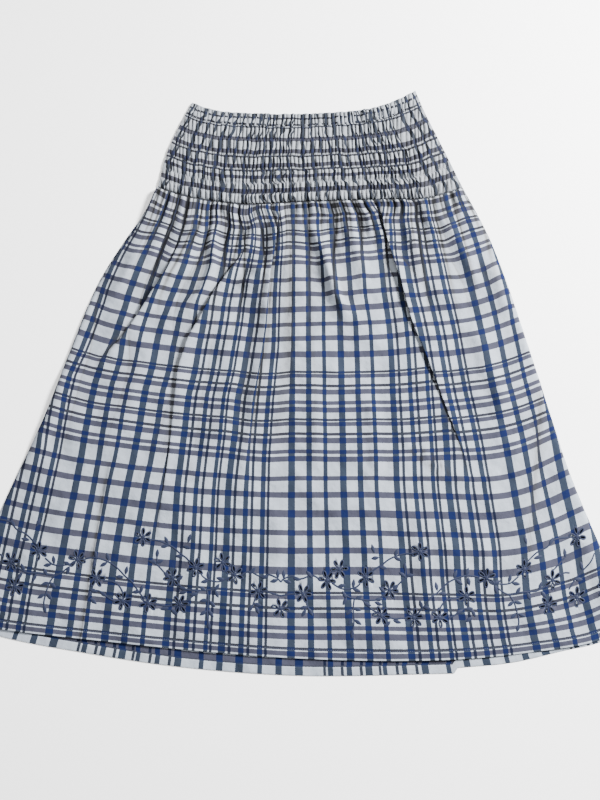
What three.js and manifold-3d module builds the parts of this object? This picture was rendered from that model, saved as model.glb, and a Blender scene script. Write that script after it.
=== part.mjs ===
// A pull-on midi skirt of light plaid cotton, laid flat with its front up.
// Millimetres: X to the right, Y towards the waist, Z up from the surface that it lies on.
// Four cut pieces: a shirred yoke and a gathered A-line skirt, each with a front and a back.
// The backs are flat sheets under the fronts. The fronts carry the puckers, gathers and folds.
import * as THREE from "three";
import { mergeVertices } from "three/addons/utils/BufferGeometryUtils.js";
import Module from "manifold-3d";

// ---- driving sizes --------------------------------------------------------------------------
const WALL = 1.4; // cloth of a front piece, with its nap and air
const BACK_WALL = 1.2; // cloth of a back piece, pressed flat under the front
const GAP = 0.3; // between neighbouring pieces, at the seams and between the layers
const CASING_HEIGHT = 24; // turned top of the yoke
const CASING_LIFT = 0.5; // how much thicker the doubled casing is
const HEM_TURN = 12; // narrow turned hem of the skirt
const HEM_LIFT = 0.5;
const STITCH_STEP = 3; // width over which a doubled edge rises

const PUCKERS = 56; // shirring puckers across the yoke
const PUCKER_LIFT = 1.2;
const PUCKER_LEAST = 0.45; // share of the lift that every pucker has
const PUCKER_MORE = 0.75; // and the uneven share on top of it
const ELASTIC_ROWS = 12; // rows of elastic thread down the yoke
const SEAM_GATHERS = 60; // gathers sewn into the waist seam
const GATHER_LIFT = 3;
const GATHER_LEAST = 0.4;
const GATHER_MORE = 0.8;
const GATHER_LENGTH = 0.3; // of the skirt's length, where they have faded away
const FRONT_COLUMNS = 80; // columns of the front's grid below the gathers
const GATHERED_ROWS = [0, 0.02, 0.045, 0.08]; // shares of the skirt's length
const OPEN_ROWS = [0.125, 0.175, 0.225, 0.275, 0.33, 0.39, 0.45, 0.52, 0.6, 0.69, 0.78, 0.88];
const SIDE_SHARE = 0.02; // of the width, over which the front bends down to its side edges

const BORDER_AXIS = -27; // X of the line that the embroidered border mirrors about
const BORDER_WIDTH = 0.992; // how the gathered width shortens the border's own width
const BORDER_TAPER = 0.00034; // and how much more for each mm above the hem
const PETALS = 6;
const PETAL_LENGTH = 7;
const PETAL_WIDTH = 3.4;
const PETAL_RADIUS = 6.6; // of the petals' middles about the flower's middle
const PETAL_WIDEST = 0.12; // share of its length by which a petal is widest past its middle

// ---- the outline: points that a curve runs through ------------------------------------------
const WAIST = [
  { x: -174, y: 494 },
  { x: -137, y: 480 },
  { x: -62, y: 473.8 },
  { x: 25, y: 473.8 },
  { x: 100, y: 481 },
  { x: 145, y: 494 },
  { x: 187, y: 517 },
];
const SEAM = [
  { x: -220.6, y: 340 },
  { x: -181, y: 326 },
  { x: -98, y: 311.5 },
  { x: 0, y: 315 },
  { x: 121, y: 319 },
  { x: 195, y: 321.6 },
  { x: 252, y: 340 },
];
const FRONT_HEM = [
  { x: -450, y: -292 },
  { x: -387, y: -304.5 },
  { x: -297, y: -314.6 },
  { x: -151, y: -329 },
  { x: 28, y: -341 },
  { x: 196, y: -341.4 },
  { x: 303, y: -332 },
  { x: 385, y: -319 },
  { x: 434, y: -298 },
];
const BACK_HEM_LEFT = [
  { x: -450, y: -292 },
  { x: -385, y: -313 },
  { x: -279, y: -332 },
  { x: -151, y: -349.5 },
  { x: 0, y: -359.6 },
  { x: 196, y: -357 },
];
const BACK_HEM_RIGHT = [
  { x: 198.5, y: -350.6 },
  { x: 271, y: -344 },
  { x: 338, y: -330 },
  { x: 385, y: -320 },
  { x: 434, y: -298 },
];
const YOKE_LEFT = [
  { x: -174, y: 494 },
  { x: -193, y: 450 },
  { x: -210, y: 400 },
  { x: -220.6, y: 340 },
];
const YOKE_RIGHT = [
  { x: 187, y: 517 },
  { x: 201, y: 475 },
  { x: 227.5, y: 406 },
  { x: 252, y: 340 },
];
const SKIRT_LEFT = [
  { x: -220.6, y: 340 },
  { x: -243, y: 287 },
  { x: -264, y: 250 },
  { x: -300, y: 177 },
  { x: -331.7, y: 73 },
  { x: -359, y: -24 },
  { x: -402, y: -147 },
  { x: -450, y: -292 },
];
const SKIRT_RIGHT = [
  { x: 252, y: 340 },
  { x: 284, y: 261 },
  { x: 302, y: 200 },
  { x: 333, y: 66 },
  { x: 352, y: -23 },
  { x: 369, y: -101 },
  { x: 399, y: -199 },
  { x: 434, y: -298 },
];

// ---- the folds of the skirt's front, each a ridge that follows the points of its path --------
// lift is the ridge's height, and steep tells on which side it drops sharply: -1 left, 1 right.
const FOLDS = [
  {
    steep: -1,
    path: [
      { y: 262, x: -180, lift: 0 },
      { y: 202, x: -202, lift: 5 },
      { y: 130, x: -237, lift: 6.5 },
      { y: 60, x: -282, lift: 4 },
      { y: 20, x: -300, lift: 0 },
    ],
  },
  {
    steep: -1,
    path: [
      { y: 255, x: -72, lift: 0 },
      { y: 177, x: -125, lift: 6.5 },
      { y: 95, x: -162, lift: 8 },
      { y: 10, x: -179, lift: 6.5 },
      { y: -100, x: -185, lift: 4 },
      { y: -210, x: -194, lift: 0 },
    ],
  },
  {
    steep: 1,
    path: [
      { y: 300, x: -28, lift: 0 },
      { y: 200, x: -43, lift: 8 },
      { y: 112, x: -44, lift: 8 },
      { y: 37, x: -59, lift: 6.5 },
      { y: -110, x: -74, lift: 0 },
    ],
  },
  {
    steep: -1,
    path: [
      { y: 345, x: 100, lift: 3 },
      { y: 279, x: 127, lift: 6.5 },
      { y: 200, x: 144, lift: 9 },
      { y: 95, x: 169, lift: 9 },
      { y: 10, x: 196, lift: 6.5 },
      { y: -100, x: 231, lift: 0 },
    ],
  },
  {
    steep: 1,
    path: [
      { y: 260, x: -136, lift: 0 },
      { y: 200, x: -137, lift: 4 },
      { y: 133, x: -181, lift: 4 },
      { y: 100, x: -215, lift: 0 },
    ],
  },
  {
    steep: 1,
    path: [
      { y: 260, x: 24, lift: 0 },
      { y: 190, x: 52, lift: 4 },
      { y: 144, x: 58, lift: 4 },
      { y: 105, x: 104, lift: 0 },
    ],
  },
  {
    steep: 1,
    path: [
      { y: 320, x: 188, lift: 0 },
      { y: 261, x: 205, lift: 4 },
      { y: 180, x: 222, lift: 0 },
    ],
  },
  {
    steep: 1,
    path: [
      { y: 20, x: 344, lift: 0 },
      { y: -64, x: 338, lift: 5 },
      { y: -171, x: 317, lift: 5 },
      { y: -250, x: 288, lift: 0 },
    ],
  },
];
const STEEP_REACH = 12; // how far a fold spreads on its steep side
const GENTLE_REACH = 30; // and on its gentle side

// ---- the embroidered border's cut petals -----------------------------------------------------
// out is measured from the border's axis, and up from the front hem's edge. The border is the same
// on both sides, but for the axis flower and two more on the right, where the hem reaches further.
const FLOWERS = [
  { out: 0, up: 61, sides: [1] },
  { out: 30, up: 80.5, sides: [-1, 1] },
  { out: 63, up: 98.5, sides: [-1, 1] },
  { out: 80.5, up: 113, sides: [-1, 1] },
  { out: 116.5, up: 103.5, sides: [-1, 1] },
  { out: 134, up: 56, sides: [-1, 1] },
  { out: 147.5, up: 88, sides: [-1, 1] },
  { out: 176.5, up: 53.8, sides: [-1, 1] },
  { out: 194, up: 136, sides: [-1, 1] },
  { out: 210.5, up: 53.3, sides: [-1, 1] },
  { out: 250, up: 78, sides: [-1, 1] },
  { out: 280.5, up: 98.3, sides: [-1, 1] },
  { out: 334, up: 104.5, sides: [-1, 1] },
  { out: 356, up: 56, sides: [-1, 1] },
  { out: 369, up: 86.5, sides: [-1, 1] },
  { out: 396, up: 61, sides: [-1, 1] },
  { out: 416, up: 136, sides: [1] },
  { out: 436, up: 64, sides: [1] },
];

// ---- small helpers --------------------------------------------------------------------------
// A smooth curve through a table of points, as a function of t from 0 to 1.
function edge(table) {
  const points = table.map((p) => new THREE.Vector3(p.x, p.y, 0));
  const curve = new THREE.CatmullRomCurve3(points, false, "centripetal");
  curve.arcLengthDivisions = 400;
  return (t) => curve.getPointAt(THREE.MathUtils.clamp(t, 0, 1));
}

// The height of an edge curve at a given X, by halving.
function heightAt(curve, x) {
  let low = 0;
  let high = 1;
  for (let step = 0; step < 24; step += 1) {
    const middle = (low + high) / 2;
    if (curve(middle).x < x) low = middle;
    else high = middle;
  }
  return curve(low).y;
}

// A Coons patch over four edge curves: a runs from left to right and b from top to bottom.
function coons(top, bottom, left, right) {
  const corners = [top(0), top(1), bottom(0), bottom(1)];
  const part = (key, a, b) =>
    (1 - b) * top(a)[key] +
    b * bottom(a)[key] +
    (1 - a) * left(b)[key] +
    a * right(b)[key] -
    (1 - a) * (1 - b) * corners[0][key] -
    a * (1 - b) * corners[1][key] -
    (1 - a) * b * corners[2][key] -
    a * b * corners[3][key];
  return (a, b) => ({ x: part("x", a, b), y: part("y", a, b) });
}

const smooth = (t) => THREE.MathUtils.smoothstep(t, 0, 1);

// A repeatable uneven number from 0 to 1 for a place in a row.
function uneven(i, j) {
  const wave = Math.sin(i * 12.9898 + j * 78.233) * 43758.5453;
  return wave - Math.floor(wave);
}

const evenly = (count) => Array.from({ length: count + 1 }, (_, i) => i / count);

// Reads a fold's path at a height y: its x and its lift, or nothing past its ends.
function foldAt(path, y) {
  for (let i = 1; i < path.length; i += 1) {
    const upper = path[i - 1];
    const lower = path[i];
    if (y <= upper.y && y >= lower.y) {
      const t = (upper.y - y) / (upper.y - lower.y);
      return {
        x: THREE.MathUtils.lerp(upper.x, lower.x, t),
        lift: THREE.MathUtils.lerp(upper.lift, lower.lift, smooth(t)),
      };
    }
  }
  return null;
}

function foldLift(x, y) {
  let lift = 0;
  for (const fold of FOLDS) {
    const ridge = foldAt(fold.path, y);
    if (ridge === null) continue;
    const past = (x - ridge.x) * fold.steep;
    const reach = past > 0 ? STEEP_REACH : GENTLE_REACH;
    lift = Math.max(lift, ridge.lift * smooth(1 - Math.abs(past) / reach));
  }
  return lift;
}

// ---- solids from rows of points -------------------------------------------------------------
// Each row is a list of {a, x, y, low, high}. Neighbouring rows may differ in their counts.
// The wall's upper side follows high, and its lower side follows low. A plain inside is one flat
// face, which needs no points but those of the rim.
function wallFromRows(rows, plainInside = false) {
  const positions = [];
  const index = [];
  const add = (p, z) => positions.push(p.x, p.y, z) / 3 - 1;
  const upper = rows.map((row) => row.map((p) => add(p, p.high)));
  const lower = rows.map((row) => row.map((p) => add(p, p.low)));
  for (let r = 1; r < rows.length; r += 1) {
    let i = 0;
    let j = 0;
    const above = rows[r - 1];
    const below = rows[r];
    while (i < above.length - 1 || j < below.length - 1) {
      const stepAbove =
        j === below.length - 1 ||
        (i < above.length - 1 && above[i + 1].a + above[i].a <= below[j + 1].a + below[j].a);
      const next = stepAbove
        ? [upper[r - 1][i + 1], lower[r - 1][i + 1]]
        : [upper[r][j + 1], lower[r][j + 1]];
      index.push(upper[r - 1][i], upper[r][j], next[0]);
      if (!plainInside) index.push(lower[r][j], lower[r - 1][i], next[1]);
      if (stepAbove) i += 1;
      else j += 1;
    }
  }
  // The rim, walked once round: down the left, along the bottom, up the right, along the top.
  const last = rows.length - 1;
  const rim = [];
  for (let r = 0; r < last; r += 1) rim.push([upper[r][0], lower[r][0]]);
  for (let j = 0; j < rows[last].length - 1; j += 1) rim.push([upper[last][j], lower[last][j]]);
  for (let r = last; r > 0; r -= 1) rim.push([upper[r].at(-1), lower[r].at(-1)]);
  for (let i = rows[0].length - 1; i > 0; i -= 1) rim.push([upper[0][i], lower[0][i]]);
  rim.forEach((here, k) => {
    const next = rim[(k + 1) % rim.length];
    index.push(here[0], here[1], next[0]);
    index.push(next[0], here[1], next[1]);
  });
  if (plainInside) {
    const ring = rim.map(([, low]) => new THREE.Vector2(positions[low * 3], positions[low * 3 + 1]));
    for (const [a, b, c] of THREE.ShapeUtils.triangulateShape(ring, []))
      index.push(rim[a][1], rim[c][1], rim[b][1]);
  }
  const geometry = new THREE.BufferGeometry();
  geometry.setAttribute("position", new THREE.Float32BufferAttribute(positions, 3));
  geometry.setIndex(index);
  return geometry;
}

// A flat sheet: an outline of points, given its thickness upwards from z.
function flatSheet(points, z, thickness) {
  const shape = new THREE.Shape(points.map((p) => new THREE.Vector2(p.x, p.y)));
  const geometry = new THREE.ExtrudeGeometry(shape, { depth: thickness, bevelEnabled: false });
  geometry.translate(0, 0, z);
  return geometry;
}

// Points along an edge, moved by dy: the neighbours of a seam part from it by half the gap.
function along(curve, count, dy = 0) {
  return evenly(count).map((t) => {
    const p = curve(t);
    return { x: p.x, y: p.y + dy };
  });
}

// ---- the pieces -----------------------------------------------------------------------------
const FRONT_BASE = BACK_WALL + GAP;
const SEAM_PART = GAP / 2 + 0.05;

const waist = edge(WAIST);
const seam = edge(SEAM);
const frontHem = edge(FRONT_HEM);
const yokeLeft = edge(YOKE_LEFT);
const yokeRight = edge(YOKE_RIGHT);
const skirtLeft = edge(SKIRT_LEFT);
const skirtRight = edge(SKIRT_RIGHT);

// The shirred front yoke: a plain inside, puckers in its outer points, a doubled casing on top.
function yokeFront() {
  const patch = coons(waist, seam, yokeLeft, yokeRight);
  const height = yokeLeft(0).y - seam(0).y;
  const casing = CASING_HEIGHT / height;
  const step = STITCH_STEP / height;
  const shirred = evenly(ELASTIC_ROWS - 2).map((t) => casing + step + t * (1 - casing - step));
  const downs = [0, casing, ...shirred];
  const columns = evenly(PUCKERS * 2);
  const rows = downs.map((b, r) =>
    columns.map((a, c) => {
      const { x, y } = patch(a, b);
      const crest = (c + Math.floor(r / 4)) % 2 === 0 ? 1 : 0;
      const doubled = r < 2 ? CASING_LIFT : 0;
      const pucker = PUCKER_LIFT * crest * (PUCKER_LEAST + PUCKER_MORE * uneven(c, r));
      const high = FRONT_BASE + WALL + doubled + pucker;
      const shift = b === 1 ? SEAM_PART : 0;
      return { a, x, y: y + shift, low: FRONT_BASE, high };
    }),
  );
  return wallFromRows(rows, true);
}

// The gathered front of the skirt: gathers at the seam, the main folds, and a doubled hem.
function skirtFront() {
  const patch = coons(seam, frontHem, skirtLeft, skirtRight);
  const length = skirtLeft(0).y - skirtLeft(1).y;
  const turn = 1 - HEM_TURN / length;
  const hem = [turn - STITCH_STEP / length, turn, 1];
  const row = (b, count, doubled) =>
    evenly(count).map((a, c) => {
      const { x, y } = patch(a, b);
      const atSide = smooth(Math.min(a, 1 - a) / SIDE_SHARE);
      const fade = smooth(1 - b / GATHER_LENGTH);
      const crest = c % 2;
      const share = GATHER_LEAST + GATHER_MORE * uneven(Math.floor(c / 2), 1);
      const gather = GATHER_LIFT * fade * crest * share;
      const low = FRONT_BASE + atSide * (gather + foldLift(x, y));
      return { a, x, y: y - (b === 0 ? SEAM_PART : 0), low, high: low + WALL + doubled };
    });
  return wallFromRows([
    ...GATHERED_ROWS.map((b) => row(b, SEAM_GATHERS * 2, 0)),
    ...OPEN_ROWS.map((b) => row(b, FRONT_COLUMNS, 0)),
    ...hem.map((b, k) => row(b, FRONT_COLUMNS, k > 0 ? HEM_LIFT : 0)),
  ]);
}

// The flower centres of the border, in plan.
function flowerCentres() {
  return FLOWERS.flatMap(({ out, up, sides }) =>
    sides.map((side) => {
      const x = BORDER_AXIS + side * out * (BORDER_WIDTH - BORDER_TAPER * up);
      return { x, y: heightAt(frontHem, x) + up };
    }),
  );
}

// One closed four-sided blade for each petal, long enough to go through the front's wall.
function petalBlades() {
  const positions = [];
  const index = [];
  const reach = FRONT_BASE + WALL + Math.max(...FOLDS.flatMap((f) => f.path.map((p) => p.lift))) + 2;
  flowerCentres().forEach((centre, k) => {
    const turn = uneven(k, 3) * Math.PI;
    for (let petal = 0; petal < PETALS; petal += 1) {
      const angle = turn + (petal * 2 * Math.PI) / PETALS;
      const outward = { x: Math.cos(angle), y: Math.sin(angle) };
      const corner = (radius, across) => [
        centre.x + outward.x * radius - outward.y * across,
        centre.y + outward.y * radius + outward.x * across,
      ];
      const inner = corner(PETAL_RADIUS - PETAL_LENGTH / 2, 0);
      const right = corner(PETAL_RADIUS + PETAL_LENGTH * PETAL_WIDEST, -PETAL_WIDTH / 2);
      const outer = corner(PETAL_RADIUS + PETAL_LENGTH / 2, 0);
      const left = corner(PETAL_RADIUS + PETAL_LENGTH * PETAL_WIDEST, PETAL_WIDTH / 2);
      const ring = [inner, right, outer, left];
      const first = positions.length / 3;
      ring.forEach(([x, y]) => positions.push(x, y, 0));
      ring.forEach(([x, y]) => positions.push(x, y, reach));
      index.push(first, first + 2, first + 1, first, first + 3, first + 2);
      index.push(first + 4, first + 5, first + 6, first + 4, first + 6, first + 7);
      for (let side = 0; side < 4; side += 1) {
        const next = (side + 1) % 4;
        index.push(first + side, first + next, first + 4 + next);
        index.push(first + side, first + 4 + next, first + 4 + side);
      }
    }
  });
  const geometry = new THREE.BufferGeometry();
  geometry.setAttribute("position", new THREE.Float32BufferAttribute(positions, 3));
  geometry.setIndex(index);
  return geometry;
}

const wasm = await Module();
wasm.setup();

function solidOf(geometry) {
  const plain = geometry.clone();
  plain.deleteAttribute("normal");
  plain.deleteAttribute("uv");
  const merged = mergeVertices(plain, 1e-3);
  return new wasm.Manifold(
    new wasm.Mesh({
      numProp: 3,
      vertProperties: merged.attributes.position.array,
      triVerts: new Uint32Array(merged.index.array),
    }),
  );
}

function geometryOf(solid) {
  const mesh = solid.getMesh();
  const geometry = new THREE.BufferGeometry();
  geometry.setAttribute("position", new THREE.BufferAttribute(mesh.vertProperties, 3));
  geometry.setIndex(new THREE.BufferAttribute(mesh.triVerts, 1));
  return geometry;
}

const cutFront = () => geometryOf(solidOf(skirtFront()).subtract(solidOf(petalBlades())));

function yokeBack() {
  const outline = [
    ...along(seam, 24, SEAM_PART),
    ...along(yokeRight, 6).reverse(),
    ...along(waist, 18).reverse().slice(1, -1),
    ...along(yokeLeft, 6),
  ];
  return flatSheet(withoutRepeats(outline), 0, BACK_WALL);
}

function skirtBack() {
  const outline = [
    ...along(skirtLeft, 18),
    ...along(edge(BACK_HEM_LEFT), 20).slice(1),
    ...along(edge(BACK_HEM_RIGHT), 10),
    ...along(skirtRight, 18).reverse().slice(1),
    ...along(seam, 24, -SEAM_PART).reverse().slice(1, -1),
  ];
  outline[0].y -= SEAM_PART;
  return flatSheet(withoutRepeats(outline), 0, BACK_WALL);
}

// Drops a point that falls within half a millimetre of the one before it.
function withoutRepeats(points) {
  return points.filter((p, i) => {
    const before = points[(i + points.length - 1) % points.length];
    return Math.hypot(p.x - before.x, p.y - before.y) > 0.5;
  });
}

// ---- the scene graph ------------------------------------------------------------------------
const cotton = (color) =>
  new THREE.MeshStandardMaterial({ color, roughness: 0.9, metalness: 0, side: THREE.FrontSide });

const skirt = new THREE.Group();
function piece(name, geometry, color) {
  const mesh = new THREE.Mesh(geometry, cotton(color));
  mesh.name = name;
  skirt.add(mesh);
  return mesh;
}

piece("skirt_back", skirtBack(), "#8f97a6");
piece("yoke_back", yokeBack(), "#959cab");
piece("skirt_front", cutFront(), "#b9bec8");
piece("yoke_front", yokeFront(), "#a9b0be");

// The origin is the middle of the whole garment's box, on the surface that it lies on.
const box = new THREE.Box3().setFromObject(skirt);
const middle = box.getCenter(new THREE.Vector3());
skirt.position.set(-middle.x, -middle.y, -box.min.z);
const garment = new THREE.Group();
garment.add(skirt);

export default garment;
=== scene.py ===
"""A pull-on midi skirt of plaid cotton voile, laid flat with its front up.

Every cut piece is a thin shell that is worked out from its own cloth: a point is found by how far it
lies across the width (u) and along the length (w) of the uncut cloth, in millimetres, so the plaid, the
folds, the gathers and the embroidery all follow the same threads.
"""

import logging
import math
from dataclasses import dataclass, field
from enum import Enum

import bpy
import numpy as np
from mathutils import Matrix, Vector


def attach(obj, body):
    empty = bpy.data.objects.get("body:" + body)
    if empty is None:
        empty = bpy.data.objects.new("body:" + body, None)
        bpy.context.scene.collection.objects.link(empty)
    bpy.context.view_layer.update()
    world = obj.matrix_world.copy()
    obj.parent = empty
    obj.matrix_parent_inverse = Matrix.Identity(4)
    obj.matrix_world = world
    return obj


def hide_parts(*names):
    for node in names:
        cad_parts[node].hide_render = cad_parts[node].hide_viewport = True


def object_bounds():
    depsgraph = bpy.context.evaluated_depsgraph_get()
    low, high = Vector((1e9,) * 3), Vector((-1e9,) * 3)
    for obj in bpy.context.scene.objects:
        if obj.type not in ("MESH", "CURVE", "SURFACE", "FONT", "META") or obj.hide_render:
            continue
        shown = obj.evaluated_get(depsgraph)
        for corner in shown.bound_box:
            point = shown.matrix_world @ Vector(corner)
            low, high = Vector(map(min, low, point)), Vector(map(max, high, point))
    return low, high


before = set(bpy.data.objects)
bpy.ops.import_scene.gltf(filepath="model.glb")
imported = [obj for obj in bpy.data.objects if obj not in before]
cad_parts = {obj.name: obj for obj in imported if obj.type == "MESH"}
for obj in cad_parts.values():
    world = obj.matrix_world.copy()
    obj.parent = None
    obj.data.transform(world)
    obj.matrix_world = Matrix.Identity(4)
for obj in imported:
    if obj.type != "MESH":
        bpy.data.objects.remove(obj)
CAD_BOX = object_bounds()

LOG = logging.getLogger("skirt")
MM = 0.001
SCRAMBLE = 43758.5453  # turns a sine into an uneven number by its far decimals
Points = tuple[tuple[float, float], ...]
Colour = tuple[float, float, float, float]

# ---- the garment's outline, in millimetres from the middle of its front ---------------------------
WAIST: Points = ((-174, 494), (-137, 480), (-62, 473.8), (25, 473.8), (100, 481), (145, 494), (187, 517))
SEAM: Points = (
    (-220.6, 340), (-181, 326), (-98, 311.5), (0, 315), (121, 319), (195, 321.6), (252, 340),
)
FRONT_HEM: Points = (
    (-450, -292), (-387, -304.5), (-297, -314.6), (-151, -329), (28, -341), (196, -341.4),
    (303, -332), (385, -319), (434, -298),
)
BACK_HEM_LEFT: Points = (
    (-450, -292), (-385, -313), (-279, -332), (-151, -349.5), (0, -359.6), (196, -357),
)
BACK_HEM_RIGHT: Points = ((198.5, -350.6), (271, -344), (338, -330), (385, -320), (434, -298))
YOKE_LEFT: Points = ((-174, 494), (-193, 450), (-210, 400), (-220.6, 340))
YOKE_RIGHT: Points = ((187, 517), (201, 475), (227.5, 406), (252, 340))
SKIRT_LEFT: Points = (
    (-220.6, 340), (-243, 287), (-264, 250), (-300, 177), (-331.7, 73), (-359, -24), (-402, -147),
    (-450, -292),
)
SKIRT_RIGHT: Points = (
    (252, 340), (284, 261), (302, 200), (333, 66), (352, -23), (369, -101), (399, -199), (434, -298),
)

# The frame's origin is the middle of the garment's box: these two turn outline places into it.
SHIFT_X = CAD_BOX[0][0] / MM - SKIRT_LEFT[-1][0]
SHIFT_Y = CAD_BOX[1][1] / MM - YOKE_RIGHT[0][1]

VIEW_HEIGHT = 824.4  # of the viewer's eye above the surface
VIEW_FOOT = 207.1  # and how far its foot point lies towards the hem from the middle

# ---- the cloth ------------------------------------------------------------------------------------
CLOTH = 0.42  # thickness of the voile, with its nap
BACK_LEVEL = 0.45  # middle of the back's wall above the surface
FRONT_LEVEL = 3.0  # middle of the front's wall where it lies on the back
TOP_W = 320.5  # cloth length coordinate at the waist seam
TOP_LEVEL = 316.0  # how high the seam lies above the cloth's own zero
HEM_W = -341.0  # and at the hem's fold
HEM_TURN = 11.5  # cloth turned up inside the hem
CASING = 24.0  # cloth turned down inside the waist
CENTRE_X = -11.5  # where the warp stripe u = 0 runs
SEAM_LEVEL = 2.2  # middle of the walls in the waist seam's groove
STITCH_UP = 9.5  # the hem's stitch row above its fold


# ---- curves and grids -----------------------------------------------------------------------------
def through(points: Points, steps: int = 40) -> np.ndarray:
    """Samples a centripetal Catmull-Rom curve through a few points.

    Args:
        points: The points that the curve runs through.
        steps: Samples between two points.

    Returns:
        The samples, one row each.
    """
    given = np.array(points, float)
    ends = np.vstack([2 * given[0] - given[1], given, 2 * given[-1] - given[-2]])
    made = []
    for p0, p1, p2, p3 in zip(ends, ends[1:], ends[2:], ends[3:]):
        t1 = math.dist(p0, p1) ** 0.5
        t2 = t1 + math.dist(p1, p2) ** 0.5
        t3 = t2 + math.dist(p2, p3) ** 0.5
        t = np.linspace(t1, t2, steps, endpoint=False)[:, None]
        a1 = (t1 - t) / t1 * p0 + t / t1 * p1
        a2 = (t2 - t) / (t2 - t1) * p1 + (t - t1) / (t2 - t1) * p2
        a3 = (t3 - t) / (t3 - t2) * p2 + (t - t2) / (t3 - t2) * p3
        b1 = (t2 - t) / t2 * a1 + t / t2 * a2
        b2 = (t3 - t) / (t3 - t1) * a2 + (t - t1) / (t3 - t1) * a3
        made.append((t2 - t) / (t2 - t1) * b1 + (t - t1) / (t2 - t1) * b2)
    return np.vstack([*made, given[-1]])


class Edge:
    """A smooth curve through a few points, read by its share of length."""

    def __init__(self, points: Points) -> None:
        """Samples the curve and measures it.

        Args:
            points: The points that the curve runs through.
        """
        self.samples = through(points)
        steps = np.hypot(*np.diff(self.samples, axis=0).T)
        along = np.concatenate([[0.0], np.cumsum(steps)])
        self.share = along / float(along[-1])

    def at(self, t: np.ndarray) -> tuple[np.ndarray, np.ndarray]:
        """Gives the curve's X and Y at shares of its length."""
        return np.interp(t, self.share, self.samples[:, 0]), np.interp(t, self.share, self.samples[:, 1])


@dataclass(frozen=True)
class Patch:
    """A Coons patch over four edges: a runs left to right, b from the top to the bottom."""

    top: Edge
    bottom: Edge
    left: Edge
    right: Edge

    def at(self, a: np.ndarray, b: np.ndarray) -> tuple[np.ndarray, np.ndarray]:
        """Gives the patch's X and Y at shares of its edges.

        Args:
            a: Shares across, from the left edge.
            b: Shares down, from the top edge.

        Returns:
            The X and the Y of each point.
        """
        top, bottom = self.top.at(a), self.bottom.at(a)
        left, right = self.left.at(b), self.right.at(b)
        made = []
        for k in (0, 1):
            corners = (
                (1 - a) * (1 - b) * self.top.samples[0, k]
                + a * (1 - b) * self.top.samples[-1, k]
                + (1 - a) * b * self.bottom.samples[0, k]
                + a * b * self.bottom.samples[-1, k]
            )
            made.append((1 - b) * top[k] + b * bottom[k] + (1 - a) * left[k] + a * right[k] - corners)
        return made[0], made[1]


def smooth(t: np.ndarray) -> np.ndarray:
    """Eases from 0 to 1."""
    t = np.clip(t, 0.0, 1.0)
    return t * t * (3 - 2 * t)


def uneven(i: float, j: float) -> float:
    """Gives a repeatable uneven number from 0 to 1 for a place in a row."""
    wave = math.sin(i * 12.9898 + j * 78.233) * SCRAMBLE
    return wave - math.floor(wave)


def ripple(x: np.ndarray, y: np.ndarray, seed: int) -> np.ndarray:
    """Gives smooth noise from -1 to 1 over a unit lattice.

    Args:
        x: Places across, in lattice steps.
        y: Places along, in lattice steps.
        seed: Picks one lattice of values.

    Returns:
        The noise at each place.
    """
    x, y = np.broadcast_arrays(x, y)
    xi, yi = np.floor(x), np.floor(y)
    xf, yf = smooth(x - xi), smooth(y - yi)

    def value(i: np.ndarray, j: np.ndarray) -> np.ndarray:
        """Gives the lattice's own value at whole places."""
        wave = np.sin(i * 127.1 + j * 311.7 + seed * 74.7) * SCRAMBLE
        return 2 * (wave - np.floor(wave)) - 1

    upper = value(xi, yi) * (1 - xf) + value(xi + 1, yi) * xf
    lower = value(xi, yi + 1) * (1 - xf) + value(xi + 1, yi + 1) * xf
    return upper * (1 - yf) + lower * yf


def blur(values: np.ndarray, axis: int, passes: int) -> np.ndarray:
    """Softens an array along one axis, with its ends held.

    Args:
        values: The array.
        axis: The axis to soften along.
        passes: How often each value is mixed with its two neighbours.

    Returns:
        The softened array.
    """
    moved = np.moveaxis(values, axis, 0)
    for _ in range(passes):
        soft = moved.copy()
        soft[1:-1] = 0.25 * moved[:-2] + 0.5 * moved[1:-1] + 0.25 * moved[2:]
        moved = soft
    return np.moveaxis(moved, 0, axis)


def valleys(high: np.ndarray, wide: int, deep: float) -> np.ndarray:
    """Gives how deep each point lies below its neighbours across, from 0 to 1.

    Args:
        high: Heights, rows by columns.
        wide: Passes of the blur that finds the neighbours' height.
        deep: The depth in millimetres that counts as 1.

    Returns:
        The share of that depth at each point.
    """
    return smooth((blur(high, 1, wide) - high) / deep)


def shaded(high: np.ndarray, shades: tuple[tuple[float, int, float], ...]) -> np.ndarray:
    """Gives how dark a sheet's valleys are painted, as painted shade over valleys of several widths.

    Args:
        high: Heights, rows by columns.
        shades: For each width its strength, its passes of blur and the depth that counts as full.

    Returns:
        The painted shade's strength at each point, from 0 to 1.
    """
    return np.maximum.reduce([share * valleys(high, wide, deep) for share, wide, deep in shades])


def in_sight(x: np.ndarray, y: np.ndarray, z: np.ndarray) -> tuple[np.ndarray, np.ndarray, np.ndarray]:
    """Moves a sheet's points so that its outline, drawn on the surface, is seen there from above.

    Cloth that stands higher then lies a little nearer to the viewer's foot point than its outline.

    Args:
        x: Each point's X in outline millimetres.
        y: Each point's Y.
        z: Each point's height.

    Returns:
        The moved X and Y, and the same heights.
    """
    mean = blur(blur(z, 1, 60), 0, 20)
    share = mean / VIEW_HEIGHT
    return x * (1 - share), y - (y + VIEW_FOOT) * share, z


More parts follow.
